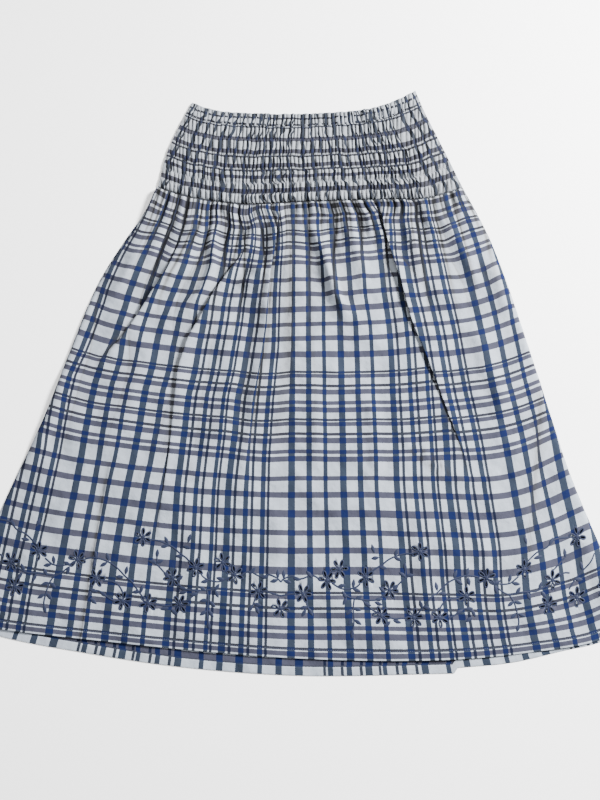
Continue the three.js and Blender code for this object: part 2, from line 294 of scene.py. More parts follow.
def object_from(
    points: np.ndarray | list[list[float]],
    faces: list[list[int]],
    name: str,
    smooth_shade: bool = False,
    edges: list[list[int]] | None = None,
) -> bpy.types.Object:
    """Makes an object and links it to the scene.

    Args:
        points: Its points in outline millimetres.
        faces: Its faces.
        name: Its name.
        smooth_shade: Whether its faces are shaded smooth.
        edges: Its loose edges.

    Returns:
        The new object.
    """
    moved = (np.array(points) + np.array([SHIFT_X, SHIFT_Y, 0.0])) * MM
    data = bpy.data.meshes.new(name)
    data.from_pydata(moved.tolist(), edges or [], faces)
    if smooth_shade:
        data.shade_smooth()
    made = bpy.data.objects.new(name, data)
    bpy.context.scene.collection.objects.link(made)
    return made


@dataclass
class ClothGrid:
    """A sheet of cloth as a grid: rows go down the length, columns across the width.

    Attributes:
        place: Places in millimetres, rows by columns by 3, in outline coordinates.
        u: Cloth width coordinate of each point.
        w: Cloth length coordinate of each point.
        pinch: How dark each point is painted, from 0 to 1: painted shade between ridges and beside folds.
    """

    place: np.ndarray
    u: np.ndarray
    w: np.ndarray
    pinch: np.ndarray | None = None

    def mesh(self, name: str) -> bpy.types.Object:
        """Makes an open mesh with the cloth's own coordinates as its UV map.

        Args:
            name: The object's name.

        Returns:
            The new object, linked to the scene, its normals up.
        """
        rows, columns = self.u.shape
        corner = np.arange(rows * columns).reshape(rows, columns)
        faces = np.stack(
            [corner[:-1, :-1], corner[1:, :-1], corner[1:, 1:], corner[:-1, 1:]], axis=-1
        ).reshape(-1, 4)
        made = object_from(self.place.reshape(-1, 3), faces.tolist(), name, smooth_shade=True)
        layer = made.data.uv_layers.new(name="cloth")
        cloth = np.stack([self.u, self.w], axis=-1).reshape(-1, 2) * MM
        layer.data.foreach_set("uv", cloth[faces.reshape(-1)].reshape(-1))
        # the painted shade goes to the finish as a point attribute
        if self.pinch is not None:
            pinch = made.data.attributes.new("pinch", "FLOAT", "POINT")
            pinch.data.foreach_set("value", self.pinch.reshape(-1))
        return made

    def nearest_cloth(self, x: float, y: float) -> tuple[float, float]:
        """Finds the cloth coordinates of the topmost cloth at a place in plan.

        Args:
            x: The place's X in outline millimetres.
            y: The place's Y.

        Returns:
            The cloth width and length there.
        """
        rows, columns = self.u.shape
        gap = (self.place[..., 0] - x) ** 2 + (self.place[..., 1] - y) ** 2
        row, column = np.unravel_index(int(np.argmin(gap)), gap.shape)
        row, column = min(max(row, 1), rows - 2), min(max(column, 1), columns - 2)
        across = (self.place[row, column + 1] - self.place[row, column - 1])[:2] / 2
        down = (self.place[row + 1, column] - self.place[row - 1, column])[:2] / 2
        offset = np.array([x, y]) - self.place[row, column, :2]
        steps = np.clip(np.linalg.solve(np.stack([across, down], axis=-1), offset), -1.0, 1.0)
        found = []
        for values in (self.u, self.w):
            by_column = (values[row, column + 1] - values[row, column - 1]) / 2
            by_row = (values[row + 1, column] - values[row - 1, column]) / 2
            found.append(float(values[row, column] + steps[0] * by_column + steps[1] * by_row))
        return found[0], found[1]

    def lift_off(self, u: np.ndarray, w: np.ndarray) -> tuple[np.ndarray, np.ndarray]:
        """Finds the places and outward directions of cloth points.

        Args:
            u: Cloth width coordinates.
            w: Cloth length coordinates, within the grid's rows.

        Returns:
            The places in millimetres and the unit normals, one row for each point.
        """
        down = self.w[:, 0]
        row = np.interp(-w, -down, np.arange(len(down)))
        row = np.clip(row, 0, len(down) - 1.001)
        r0 = row.astype(int)
        share = row - r0
        left = self.u[r0, 0] * (1 - share) + self.u[r0 + 1, 0] * share
        right = self.u[r0, -1] * (1 - share) + self.u[r0 + 1, -1] * share
        columns = self.u.shape[1]
        column = np.clip((u - left) / (right - left) * (columns - 1), 0, columns - 1.001)
        c0 = column.astype(int)
        across = (column - c0)[:, None]
        share = share[:, None]
        p00, p01 = self.place[r0, c0], self.place[r0, c0 + 1]
        p10, p11 = self.place[r0 + 1, c0], self.place[r0 + 1, c0 + 1]
        place = (p00 * (1 - across) + p01 * across) * (1 - share)
        place = place + (p10 * (1 - across) + p11 * across) * share
        normal = np.cross(p10 - p01, p11 - p00)
        normal /= np.linalg.norm(normal, axis=1)[:, None]
        return place, np.where(normal[:, 2:] < 0, -normal, normal)


def evaluated(made: bpy.types.Object) -> bpy.types.Object:
    """Turns an object's modifiers into plain mesh and takes them off.

    Args:
        made: The object with its modifiers.

    Returns:
        The same object with its new mesh.
    """
    depsgraph = bpy.context.evaluated_depsgraph_get()
    data = bpy.data.meshes.new_from_object(made.evaluated_get(depsgraph))
    old = made.data
    made.modifiers.clear()
    made.data = data
    if isinstance(old, bpy.types.Mesh):
        bpy.data.meshes.remove(old)
    return made


def thicken(made: bpy.types.Object, thickness: float) -> None:
    """Gives an open sheet its thickness, half to each side.

    Args:
        made: The sheet's object, which gets a modifier.
        thickness: The wall in millimetres.
    """
    wall = made.modifiers.new("thickness", "SOLIDIFY")
    wall.thickness = thickness * MM
    wall.offset = 0.0


# ---- finishes -------------------------------------------------------------------------------------
def linear(colour: str) -> Colour:
    """Turns an sRGB hex colour into a linear one.

    Args:
        colour: The colour as a hash sign and six hex digits.

    Returns:
        Red, green and blue, and an alpha of 1.
    """
    parts = [int(colour[k : k + 2], 16) / 255 for k in (1, 3, 5)]
    red, green, blue = (p / 12.92 if p <= 0.04045 else ((p + 0.055) / 1.055) ** 2.4 for p in parts)
    return (red, green, blue, 1.0)


def add_node(
    tree: bpy.types.NodeTree,
    kind: str,
    settings: dict[str, object] | None = None,
    links: dict[str | int, bpy.types.NodeSocket] | None = None,
) -> bpy.types.Node:
    """Adds a node with its settings and links.

    Args:
        tree: The tree that gets the node.
        kind: The node's type name.
        settings: Properties by name, or input values by "in:" and the input's name or number.
        links: Input names or numbers, each with the output socket that feeds it.

    Returns:
        The new node.
    """
    node = tree.nodes.new(kind)
    for key, value in (settings or {}).items():
        if key.startswith("in:"):
            slot = key[3:]
            node.inputs[int(slot) if slot.isdigit() else slot].default_value = value
        else:
            setattr(node, key, value)
    for key, socket in (links or {}).items():
        tree.links.new(socket, node.inputs[key])
    return node


def new_finish(
    name: str, roughness: float, sheen: float = 0.0, gloss: float = 0.5, colour: str = "#FFFFFF"
) -> tuple[bpy.types.Material, bpy.types.NodeTree, bpy.types.Node]:
    """Starts a finish from the plain shader.

    Args:
        name: The material's name.
        roughness: The shader's roughness.
        sheen: The sheen's weight.
        gloss: The level of the plain reflection.
        colour: The base colour as hex, where no pattern is linked to it.

    Returns:
        The material, its tree and its shader node.
    """
    material = bpy.data.materials.new(name)
    material.use_nodes = True
    tree = material.node_tree
    shader = tree.nodes["Principled BSDF"]
    for key, value in (
        ("Roughness", roughness), ("Sheen Weight", sheen), ("Specular IOR Level", gloss),
        ("Base Color", linear(colour)),
    ):
        shader.inputs[key].default_value = value
    return material, tree, shader


@dataclass(frozen=True)
class StripeSet:
    """The stripes that run one way, in millimetres of cloth.

    Attributes:
        repeat: The length after which they repeat.
        start: Where the repeat begins, in the plain cloth before its first stripe.
        broad: Each broad stripe's middle and width.
        fine: Each fine stripe's middle and width.
    """

    repeat: float
    start: float
    broad: Points
    fine: Points


WARP = StripeSet(
    repeat=315.7,
    start=-14.0,
    broad=(
        (0, 9), (25.9, 7.2), (50, 5), (76.3, 8.8), (101.5, 7.2), (124.8, 5), (154.8, 8), (181, 5.3),
        (206, 4.5), (226.5, 8), (251.5, 5.9), (275.5, 5.6),
    ),
    fine=((165.4, 2.9), (190.5, 2.7), (212.3, 2.3), (236.3, 2.9), (260.5, 2.7), (283, 2.4)),
)
WEFT = StripeSet(
    repeat=300.7,
    start=-14.0,
    broad=(
        (0, 8.7), (25.3, 7), (49.2, 6), (77.5, 6.2), (87.4, 4.2), (103.1, 6.6), (125.9, 4.6),
        (145.8, 6.1), (155.8, 4.2), (171.3, 6.1), (194.1, 4.5), (226.5, 8.5), (252, 7.2), (275.4, 6),
    ),
    fine=((111.9, 2.8), (131.8, 2.2), (180.1, 2.7), (199.7, 2.2)),
)
WEFT_START = -161.4  # cloth length coordinate of the weft repeat's first stripe
YOKE_WEFT = StripeSet(  # counted from the waist's fold down: the yoke shows one short group of stripes
    repeat=240.0,
    start=-30.0,
    broad=((53.4, 8.0), (78.7, 7.5), (106.8, 7.0), (128.1, 5.6), (155.3, 8.0)),
    fine=((8, 3), (21.7, 3), (27.5, 2), (88.7, 3), (115.8, 3)),
)


@dataclass(frozen=True)
class PlaidVoile:
    """Yarn-dyed plaid cotton voile: plain woven, matt, with a soft bloom at grazing angles.

    The dyed stripes keep light threads across them, so a single stripe is greyed and only a crossing
    shows its full blue. The thread spacing is drawn as 0.9 mm, about three times the real one, because
    finer threads don't show.
    """

    name: str = "cotton_voile_yarn_dyed_plaid"
    ground: str = "#8A919B"
    warp: str = "#222935"
    weft: str = "#343541"
    crossing: str = "#0B1536"
    fine_warp: str = "#22262F"
    fine_weft: str = "#26272F"
    fine_crossing: str = "#0D1225"  # where a fine warp crosses a broad weft
    broad_crossing: str = "#0E1732"  # where a broad warp crosses a fine weft
    thread: float = 0.9
    roughness: float = 0.95
    sheen: float = 0.02
    sheen_spread: float = 0.6
    gloss: float = 0.06
    fray: float = 0.7  # how far a stripe's edge wanders from thread to thread
    fray_grain: float = 900.0  # the grains are per metre: this one is about 1.1 mm, a few threads
    slub_grain: float = 160.0  # about 6 mm from one thick place in a thread to the next
    crinkle: float = 0.7
    crinkle_grain: float = 55.0  # about 18 mm
    crinkle_depth: float = 2.5
    weave_depth: float = 0.25
    weave_relief: float = 0.25
    billow: float = 11.0  # how strongly the soft waves between the creases catch the light
    billow_grain: float = 17.0  # about 59 mm
    bleed: float = 1.2  # how much wider a stripe is than its dyed warp or weft, as its dye spreads
    greyed: float = 0.55  # painted shade: how much colour the cloth loses where it is painted dark between ridges and beside folds
    greyed_at: float = 0.55  # at what strength of the painted shade it has lost that much
    painted_shade_tone: float = 0.1  # painted shade: the darkest tone that the colour is multiplied down to where the painted shade is full
    weft_stripes: StripeSet = WEFT
    weft_start: float = WEFT_START

    def band(
        self, tree: bpy.types.NodeTree, across: bpy.types.NodeSocket, stripes: StripeSet, which: str
    ) -> bpy.types.NodeSocket:
        """Makes a mask that is 1 on one set of stripes.

        Args:
            tree: The material's tree.
            across: The place across the stripes as a share of their repeat.
            stripes: The stripes and their repeat.
            which: "broad" or "fine".

        Returns:
            The mask's socket.
        """
        mask = None
        for at, wide in getattr(stripes, which):
            settings = {
                "operation": "COMPARE", "in:1": (at - stripes.start) / stripes.repeat,
                "in:2": (wide + self.bleed) / 2 / stripes.repeat,
            }
            one = add_node(tree, "ShaderNodeMath", settings, {0: across}).outputs[0]
            if mask is not None:
                one = add_node(
                    tree, "ShaderNodeMath", {"operation": "MAXIMUM"}, {0: mask, 1: one}
                ).outputs[0]
            mask = one
        return mask

    def build(self) -> bpy.types.Material:
        """Builds the finish: stripes, weave and slubs for the colour, painted shade from the pinch
        attribute, waves and creases for the relief.

        Returns:
            The new material.
        """
        material, tree, shader = new_finish(
            self.name, roughness=self.roughness, sheen=self.sheen, gloss=self.gloss
        )
        shader.inputs["Sheen Roughness"].default_value = self.sheen_spread

        cloth = add_node(tree, "ShaderNodeUVMap", {"uv_map": "cloth"})
        fray, slub, creased, waved = (
            add_node(
                tree, "ShaderNodeTexNoise",
                {"in:Scale": grain, "in:Detail": detail, "in:Roughness": rough},
                {"Vector": cloth.outputs["UV"]},
            )
            for grain, detail, rough in (
                (self.fray_grain, 1.0, 0.5), (self.slub_grain, 3.0, 0.5),
                (self.crinkle_grain, 6.0, 0.6), (self.billow_grain, 2.0, 0.45),
            )
        )
        fray_centred = add_node(
            tree, "ShaderNodeVectorMath", {"operation": "SUBTRACT", "in:1": (0.5, 0.5, 0.5)},
            {0: fray.outputs["Color"]},
        )
        fray_small = add_node(
            tree, "ShaderNodeVectorMath", {"operation": "SCALE", "in:Scale": self.fray * MM},
            {0: fray_centred.outputs[0]},
        )
        frayed = add_node(
            tree, "ShaderNodeVectorMath", {"operation": "ADD"},
            {0: cloth.outputs["UV"], 1: fray_small.outputs[0]},
        )
        parts = add_node(tree, "ShaderNodeSeparateXYZ", links={0: frayed.outputs[0]})
        masks = {}
        for key, stripes, socket, origin in (
            ("warp", WARP, parts.outputs["X"], 0.0),
            ("weft", self.weft_stripes, parts.outputs["Y"], self.weft_start),
        ):
            moved = add_node(
                tree, "ShaderNodeMath",
                {"operation": "MULTIPLY_ADD", "in:1": 1 / (stripes.repeat * MM),
                 "in:2": -(origin + stripes.start) / stripes.repeat},
                {0: socket},
            )
            share = add_node(tree, "ShaderNodeMath", {"operation": "FRACT"}, {0: moved.outputs[0]})
            for which in ("broad", "fine"):
                masks[key, which] = self.band(tree, share.outputs[0], stripes, which)

        def mix(
            first: bpy.types.NodeSocket | str,
            second: bpy.types.NodeSocket | str,
            factor: bpy.types.NodeSocket,
        ) -> bpy.types.NodeSocket:
            """Mixes two colours by a mask.

            Args:
                first: The colour where the mask is 0, a socket or a hex value.
                second: The colour where it is 1, likewise.
                factor: The mask.

            Returns:
                The mixed colour's socket.
            """
            node = add_node(tree, "ShaderNodeMix", {"data_type": "RGBA"}, {0: factor})
            for slot, colour in ((6, first), (7, second)):
                if isinstance(colour, str):
                    node.inputs[slot].default_value = linear(colour)
                else:
                    tree.links.new(colour, node.inputs[slot])
            return node.outputs[2]

        plain = mix(self.ground, self.fine_weft, masks["weft", "fine"])
        plain = mix(plain, self.weft, masks["weft", "broad"])
        in_fine = mix(self.fine_warp, self.fine_crossing, masks["weft", "broad"])
        in_warp = mix(self.warp, self.broad_crossing, masks["weft", "fine"])
        in_warp = mix(in_warp, self.crossing, masks["weft", "broad"])
        colour = mix(plain, in_fine, masks["warp", "fine"])
        colour = mix(colour, in_warp, masks["warp", "broad"])

        threads = []
        for direction in ("X", "Y"):
            threads.append(
                add_node(
                    tree, "ShaderNodeTexWave",
                    {"bands_direction": direction, "in:Scale": math.tau / 20 / (self.thread * MM),
                     "in:Distortion": 0.6, "in:Detail": 1.0},
                    {"Vector": cloth.outputs["UV"]},
                )
            )
        weave = add_node(
            tree, "ShaderNodeMath", {"operation": "MULTIPLY"},
            {0: threads[0].outputs["Fac"], 1: threads[1].outputs["Fac"]},
        )
        tone = add_node(
            tree, "ShaderNodeMapRange", {"in:To Min": 0.93, "in:To Max": 1.05}, {"Value": weave.outputs[0]}
        )
        tone_slub = add_node(
            tree, "ShaderNodeMapRange",
            {"in:From Min": 0.3, "in:From Max": 0.7, "in:To Min": 0.94, "in:To Max": 1.05},
            {"Value": slub.outputs["Fac"]},
        )
        woven = add_node(
            tree, "ShaderNodeMath", {"operation": "MULTIPLY"},
            {0: tone.outputs[0], 1: tone_slub.outputs[0]},
        )
        # painted shade: the pinch attribute darkens and greys the colour in valleys and beside folds, where
        # shade falls
        pinch = add_node(tree, "ShaderNodeAttribute", {"attribute_name": "pinch"})
        pinched = add_node(
            tree, "ShaderNodeMapRange", {"in:To Min": 1.0, "in:To Max": self.painted_shade_tone},
            {"Value": pinch.outputs["Fac"]},
        )
        both = add_node(
            tree, "ShaderNodeMath", {"operation": "MULTIPLY"},
            {0: woven.outputs[0], 1: pinched.outputs[0]},
        )
        colourful = add_node(
            tree, "ShaderNodeMapRange",
            {"in:From Max": self.greyed_at, "in:To Min": 1.0, "in:To Max": 1 - self.greyed},
            {"Value": pinch.outputs["Fac"]},
        )
        greyed = add_node(
            tree, "ShaderNodeHueSaturation", links={"Saturation": colourful.outputs[0], "Color": colour}
        )
        toned = add_node(
            tree, "ShaderNodeVectorMath", {"operation": "SCALE"},
            {0: greyed.outputs[0], "Scale": both.outputs[0]},
        )
        tree.links.new(toned.outputs[0], shader.inputs["Base Color"])

        links = {}
        for strength, depth, height in (
            (1.0, self.billow, waved.outputs["Fac"]),
            (self.crinkle, self.crinkle_depth, creased.outputs["Fac"]),
            (self.weave_relief, self.weave_depth, weave.outputs[0]),
        ):
            bump = add_node(
                tree, "ShaderNodeBump", {"in:Strength": strength, "in:Distance": depth * MM},
                {"Height": height, **links},
            )
            links = {"Normal": bump.outputs[0]}
        tree.links.new(bump.outputs[0], shader.inputs["Normal"])
        return material


@dataclass(frozen=True)
class Thread:
    """Twisted thread: viscose has a soft sheen along the stitch, sewing thread is matt.

    Its twist shows as light and dark strands, drawn 0.7 mm wide as finer ones don't show.
    """

    name: str
    colour: str
    roughness: float
    sheen: float
    gloss: float = 0.1
    pitch: float = 0.7
    strand_depth: float = 0.3

    def build(self) -> bpy.types.Material:
        """Builds the finish: strands for the colour and the relief.

        Returns:
            The new material.
        """
        material, tree, shader = new_finish(
            self.name, roughness=self.roughness, sheen=self.sheen, gloss=self.gloss
        )
        coords = add_node(tree, "ShaderNodeTexCoord")
        strands = add_node(
            tree, "ShaderNodeTexNoise", {"in:Scale": 1 / (self.pitch * MM), "in:Detail": 2.0},
            {"Vector": coords.outputs["Object"]},
        )
        shade = add_node(
            tree, "ShaderNodeMapRange",
            {"in:From Min": 0.3, "in:From Max": 0.7, "in:To Min": 0.78, "in:To Max": 1.15},
            {"Value": strands.outputs["Fac"]},
        )
        colour = add_node(
            tree, "ShaderNodeVectorMath",
            {"operation": "SCALE", "in:0": linear(self.colour)[:3]}, {"Scale": shade.outputs[0]},
        )
        tree.links.new(colour.outputs[0], shader.inputs["Base Color"])
        bump = add_node(
            tree, "ShaderNodeBump", {"in:Strength": 0.5, "in:Distance": self.strand_depth * MM},
            {"Height": strands.outputs["Fac"]},
        )
        tree.links.new(bump.outputs[0], shader.inputs["Normal"])
        return material


# ---- folds ----------------------------------------------------------------------------------------
class Lie(Enum):
    """How a fold lies: which of its two parts is on top, a soft roll with no overlap, or a painted hollow:
    cloth taken up with painted shade in place of a dip.
    """

    INNER_OVER = "inner"
    OUTER_OVER = "outer"
    SOFT = "soft"
    PAINTED_HOLLOW = "hollow"


@dataclass(frozen=True)
class FoldPoint:
    """One point of a fold: its level, the crest's X, the cloth it hides and its height."""

    level: float
    x: float
    hidden: float
    lift: float


@dataclass(frozen=True)
class Fold:
    """A fold that runs down the skirt.

    Attributes:
        lie: Which of its parts is on top.
        points: Its points, from the top down.
        slip: How far the weft has slipped past the fold, in millimetres up the skirt.
        rise: How far the weft rises on its way to the fold.
        shade: How strongly shade is painted on the cloth beside the fold.
    """

    lie: Lie
    points: tuple[FoldPoint, ...]
    slip: float = 0.0
    rise: float = 0.0
    shade: float = 1.0

    def read(self, level: float) -> FoldPoint | None:
        """Reads the fold at one level.

        Args:
            level: The level in outline millimetres.

        Returns:
            The fold's point there, or nothing past its ends.
        """
        if not self.points[-1].level <= level <= self.points[0].level:
            return None
        down = [-p.level for p in self.points]
        x, hidden, lift = (
            float(np.interp(-level, down, [getattr(p, key) for p in self.points]))
            for key in ("x", "hidden", "lift")
        )
        return FoldPoint(level, x, hidden, lift)


def folded(lie: Lie, points: tuple[tuple[float, float, float, float], ...], **how: float) -> Fold:
    """Makes a fold from rows of level, crest's X, hidden cloth and height, from the top down."""
    return Fold(lie, tuple(FoldPoint(*row) for row in points), **how)


FOLDS: tuple[Fold, ...] = (
    folded(Lie.INNER_OVER, (
        (255, -180, 0, 0), (190, -202, 8, 6), (115, -237, 13, 8), (78, -260, 14, 8),
        (40, -285, 5, 5), (15, -300, 0, 0),
    ), slip=-5),
    folded(Lie.INNER_OVER, (
        (255, -72, 0, 0), (205, -104, 10, 7), (170, -125, 13, 9), (90, -164, 16, 8),
        (38, -178, 16, 4.5), (-40, -182, 15, 2.5), (-100, -185, 11, 2), (-150, -190, 7, 1),
        (-220, -195, 0, 0),
    )),
    folded(Lie.OUTER_OVER, (
        (300, -30, 2, 3), (272, -33, 14, 8), (235, -36, 18, 10), (200, -42, 20, 10.5),
        (112, -46, 15, 9), (77, -50, 11, 8), (37, -57, 9, 7), (0, -62, 5, 5), (-50, -68, 6, 3.5),
        (-120, -74, 0, 0),
    ), slip=-6),
    folded(Lie.PAINTED_HOLLOW, (
        (300, -20, 2, 2), (272, -20, 10, 4), (235, -20, 14, 5), (200, -21, 14, 5),
        (112, -22, 13, 4.5), (77, -23, 13, 4), (37, -25, 9, 3), (0, -26, 6, 2), (-50, -28, 3, 1),
        (-90, -28, 0, 0),
    )),
    folded(Lie.OUTER_OVER, (
        (306, 116, 2, 2), (284, 123, 22, 5), (233, 133, 34, 6.5), (183, 147, 33, 6.5),
        (120, 160, 28, 5.5), (47, 184, 23, 4), (10, 196, 18, 3), (-33, 209, 12, 2.2),
        (-80, 225, 6, 1.5), (-120, 236, 0, 0),
    ), slip=-3, rise=9, shade=1.6),
    folded(Lie.SOFT, (
        (275, -136, 4, 3), (200, -137, 15, 7), (160, -150, 12, 6.5), (120, -181, 5, 5),
        (95, -207, 0, 0),
    )),
    folded(Lie.SOFT, (
        (285, 12, 3, 2), (220, 44, 10, 6.5), (150, 54, 8, 6), (120, 84, 3, 4.5), (102, 104, 0, 0),
    )),
    folded(Lie.SOFT, (
        (310, 190, 6, 3), (255, 205, 5, 5), (180, 222, 0, 0),
    )),
    folded(Lie.INNER_OVER, (
        (0, 345, 1, 0), (-75, 333, 6, 1.8), (-130, 321, 6, 2), (-205, 306, 4, 1.4),
        (-240, 299, 0, 0),
    ), shade=6),
    folded(Lie.INNER_OVER, (
        (-90, -262, 0, 0), (-140, -267, 4, 1.4), (-240, -276, 4.5, 1.6), (-341, -283, 4, 1.2),
    ), shade=4),
)


@dataclass(frozen=True)
class Crease:
    """A soft ridge or trough from one place to another, in plan, with its height and half-width."""

    x0: float
    y0: float
    x1: float
    y1: float
    height: float
    spread: float


CREASES: tuple[Crease, ...] = tuple(
    Crease(*row) for row in (
        (135, -56, 208, -114, 2.6, 3.6), (196, -110, 270, -118, 2.0, 4.5),
        (-51, 207, -92, 172, 4.5, 9), (104, 306, 106, 256, 1.6, 4), (-330, 60, -372, -90, 3.0, 10),
        (-225, 90, -262, -60, 3.0, 16), (-95, 60, -120, -70, 2.6, 14), (10, 60, 22, -110, 2.4, 13),
        (90, 40, 104, -140, 2.4, 12), (250, 120, 288, -40, 3.0, 13),
        (-310, -140, -392, -240, 2.2, 11), (280, 230, 305, 110, 4.0, 10),
        (-236, 250, -288, 140, 3.6, 11), (-30, -130, -46, -310, 1.8, 12),
        (150, -160, 168, -325, 2.0, 12), (370, -170, 402, -290, 2.2, 10),
        (240, -180, 262, -320, 1.9, 12), (-140, -160, -150, -320, 1.8, 12),
        (26, 236, 68, 110, 3.2, 9), (-60, 300, -92, 225, 4.0, 9), (-150, 300, -214, 150, 4.5, 13),
        (70, 290, 96, 160, 3.6, 11), (160, 290, 186, 150, 3.6, 12), (215, 300, 268, 150, 4.0, 12),
    )
)
CREASE_GAIN = 1.5  # how much taller than its plain height a crease stands in gathered cloth


@dataclass(frozen=True)
class GatherBand:
    """Gathers of one pitch, in millimetres of cloth, that fade over a length below the seam.

    Attributes:
        pitch: From one ridge to the next.
        height: The ridges' height.
        fade: The length over which they fade.
        shade: How strongly shade is painted in their valleys.
        seed: Picks their unevenness.
    """

    pitch: float
    height: float
    fade: float
    shade: float
    seed: int


GATHERS: tuple[GatherBand, ...] = (
    GatherBand(13.5, 4.0, 42, 2.4, 3),
    GatherBand(23.5, 5.0, 85, 2.4, 5),
    GatherBand(41, 4.5, 150, 1.5, 8),
    GatherBand(71, 4.0, 330, 0.0, 11),
)


@dataclass(frozen=True)
class WeftWave:
    """A waviness of the weft below the seam: its height, pitches, seed and how it fades."""

    height: float
    across: float
    along: float
    seed: int
    fade: float
    power: float


WEFT_WAVES: tuple[WeftWave, ...] = (
    WeftWave(3.6, 24, 70, 51, 130, 1), WeftWave(2.6, 60, 110, 52, 260, 1),
    WeftWave(5.5, 38, 85, 54, 130, 2),
)


@dataclass(frozen=True)
class Sag:
    """A broad rise of the weft, or a sag where negative: its height, place across and reach.

    Attributes:
        height: How far the weft rises.
        middle: Its middle, as a cloth width.
        spread: Its half-width.
        top: The cloth length from which it begins.
        top_ease: The length over which it begins.
        bottom: The cloth length at which it ends.
        bottom_ease: The length over which it ends.
    """

    height: float
    middle: float
    spread: float
    top: float
    top_ease: float
    bottom: float
    bottom_ease: float

    def at(self, u: np.ndarray, w: np.ndarray) -> np.ndarray:
        """Gives how far the weft rises at cloth points."""
        ends = smooth((self.top - w) / self.top_ease) * smooth((w - self.bottom) / self.bottom_ease)
        return self.height * np.exp(-(((u - self.middle) / self.spread) ** 2)) * ends


WEFT_DRAW = 0.75  # how far the weft hangs down for each millimetre that the gathers bulge
SAGS: tuple[Sag, ...] = (
    Sag(4, 105, 100, -190, 100, HEM_W, 30), Sag(-4, -45, 38, 170, 40, -150, 60),
    Sag(-6.5, 295, 60, -30, 90, HEM_W, 70), Sag(4.5, 95, 110, -95, 30, -265, 50),
)


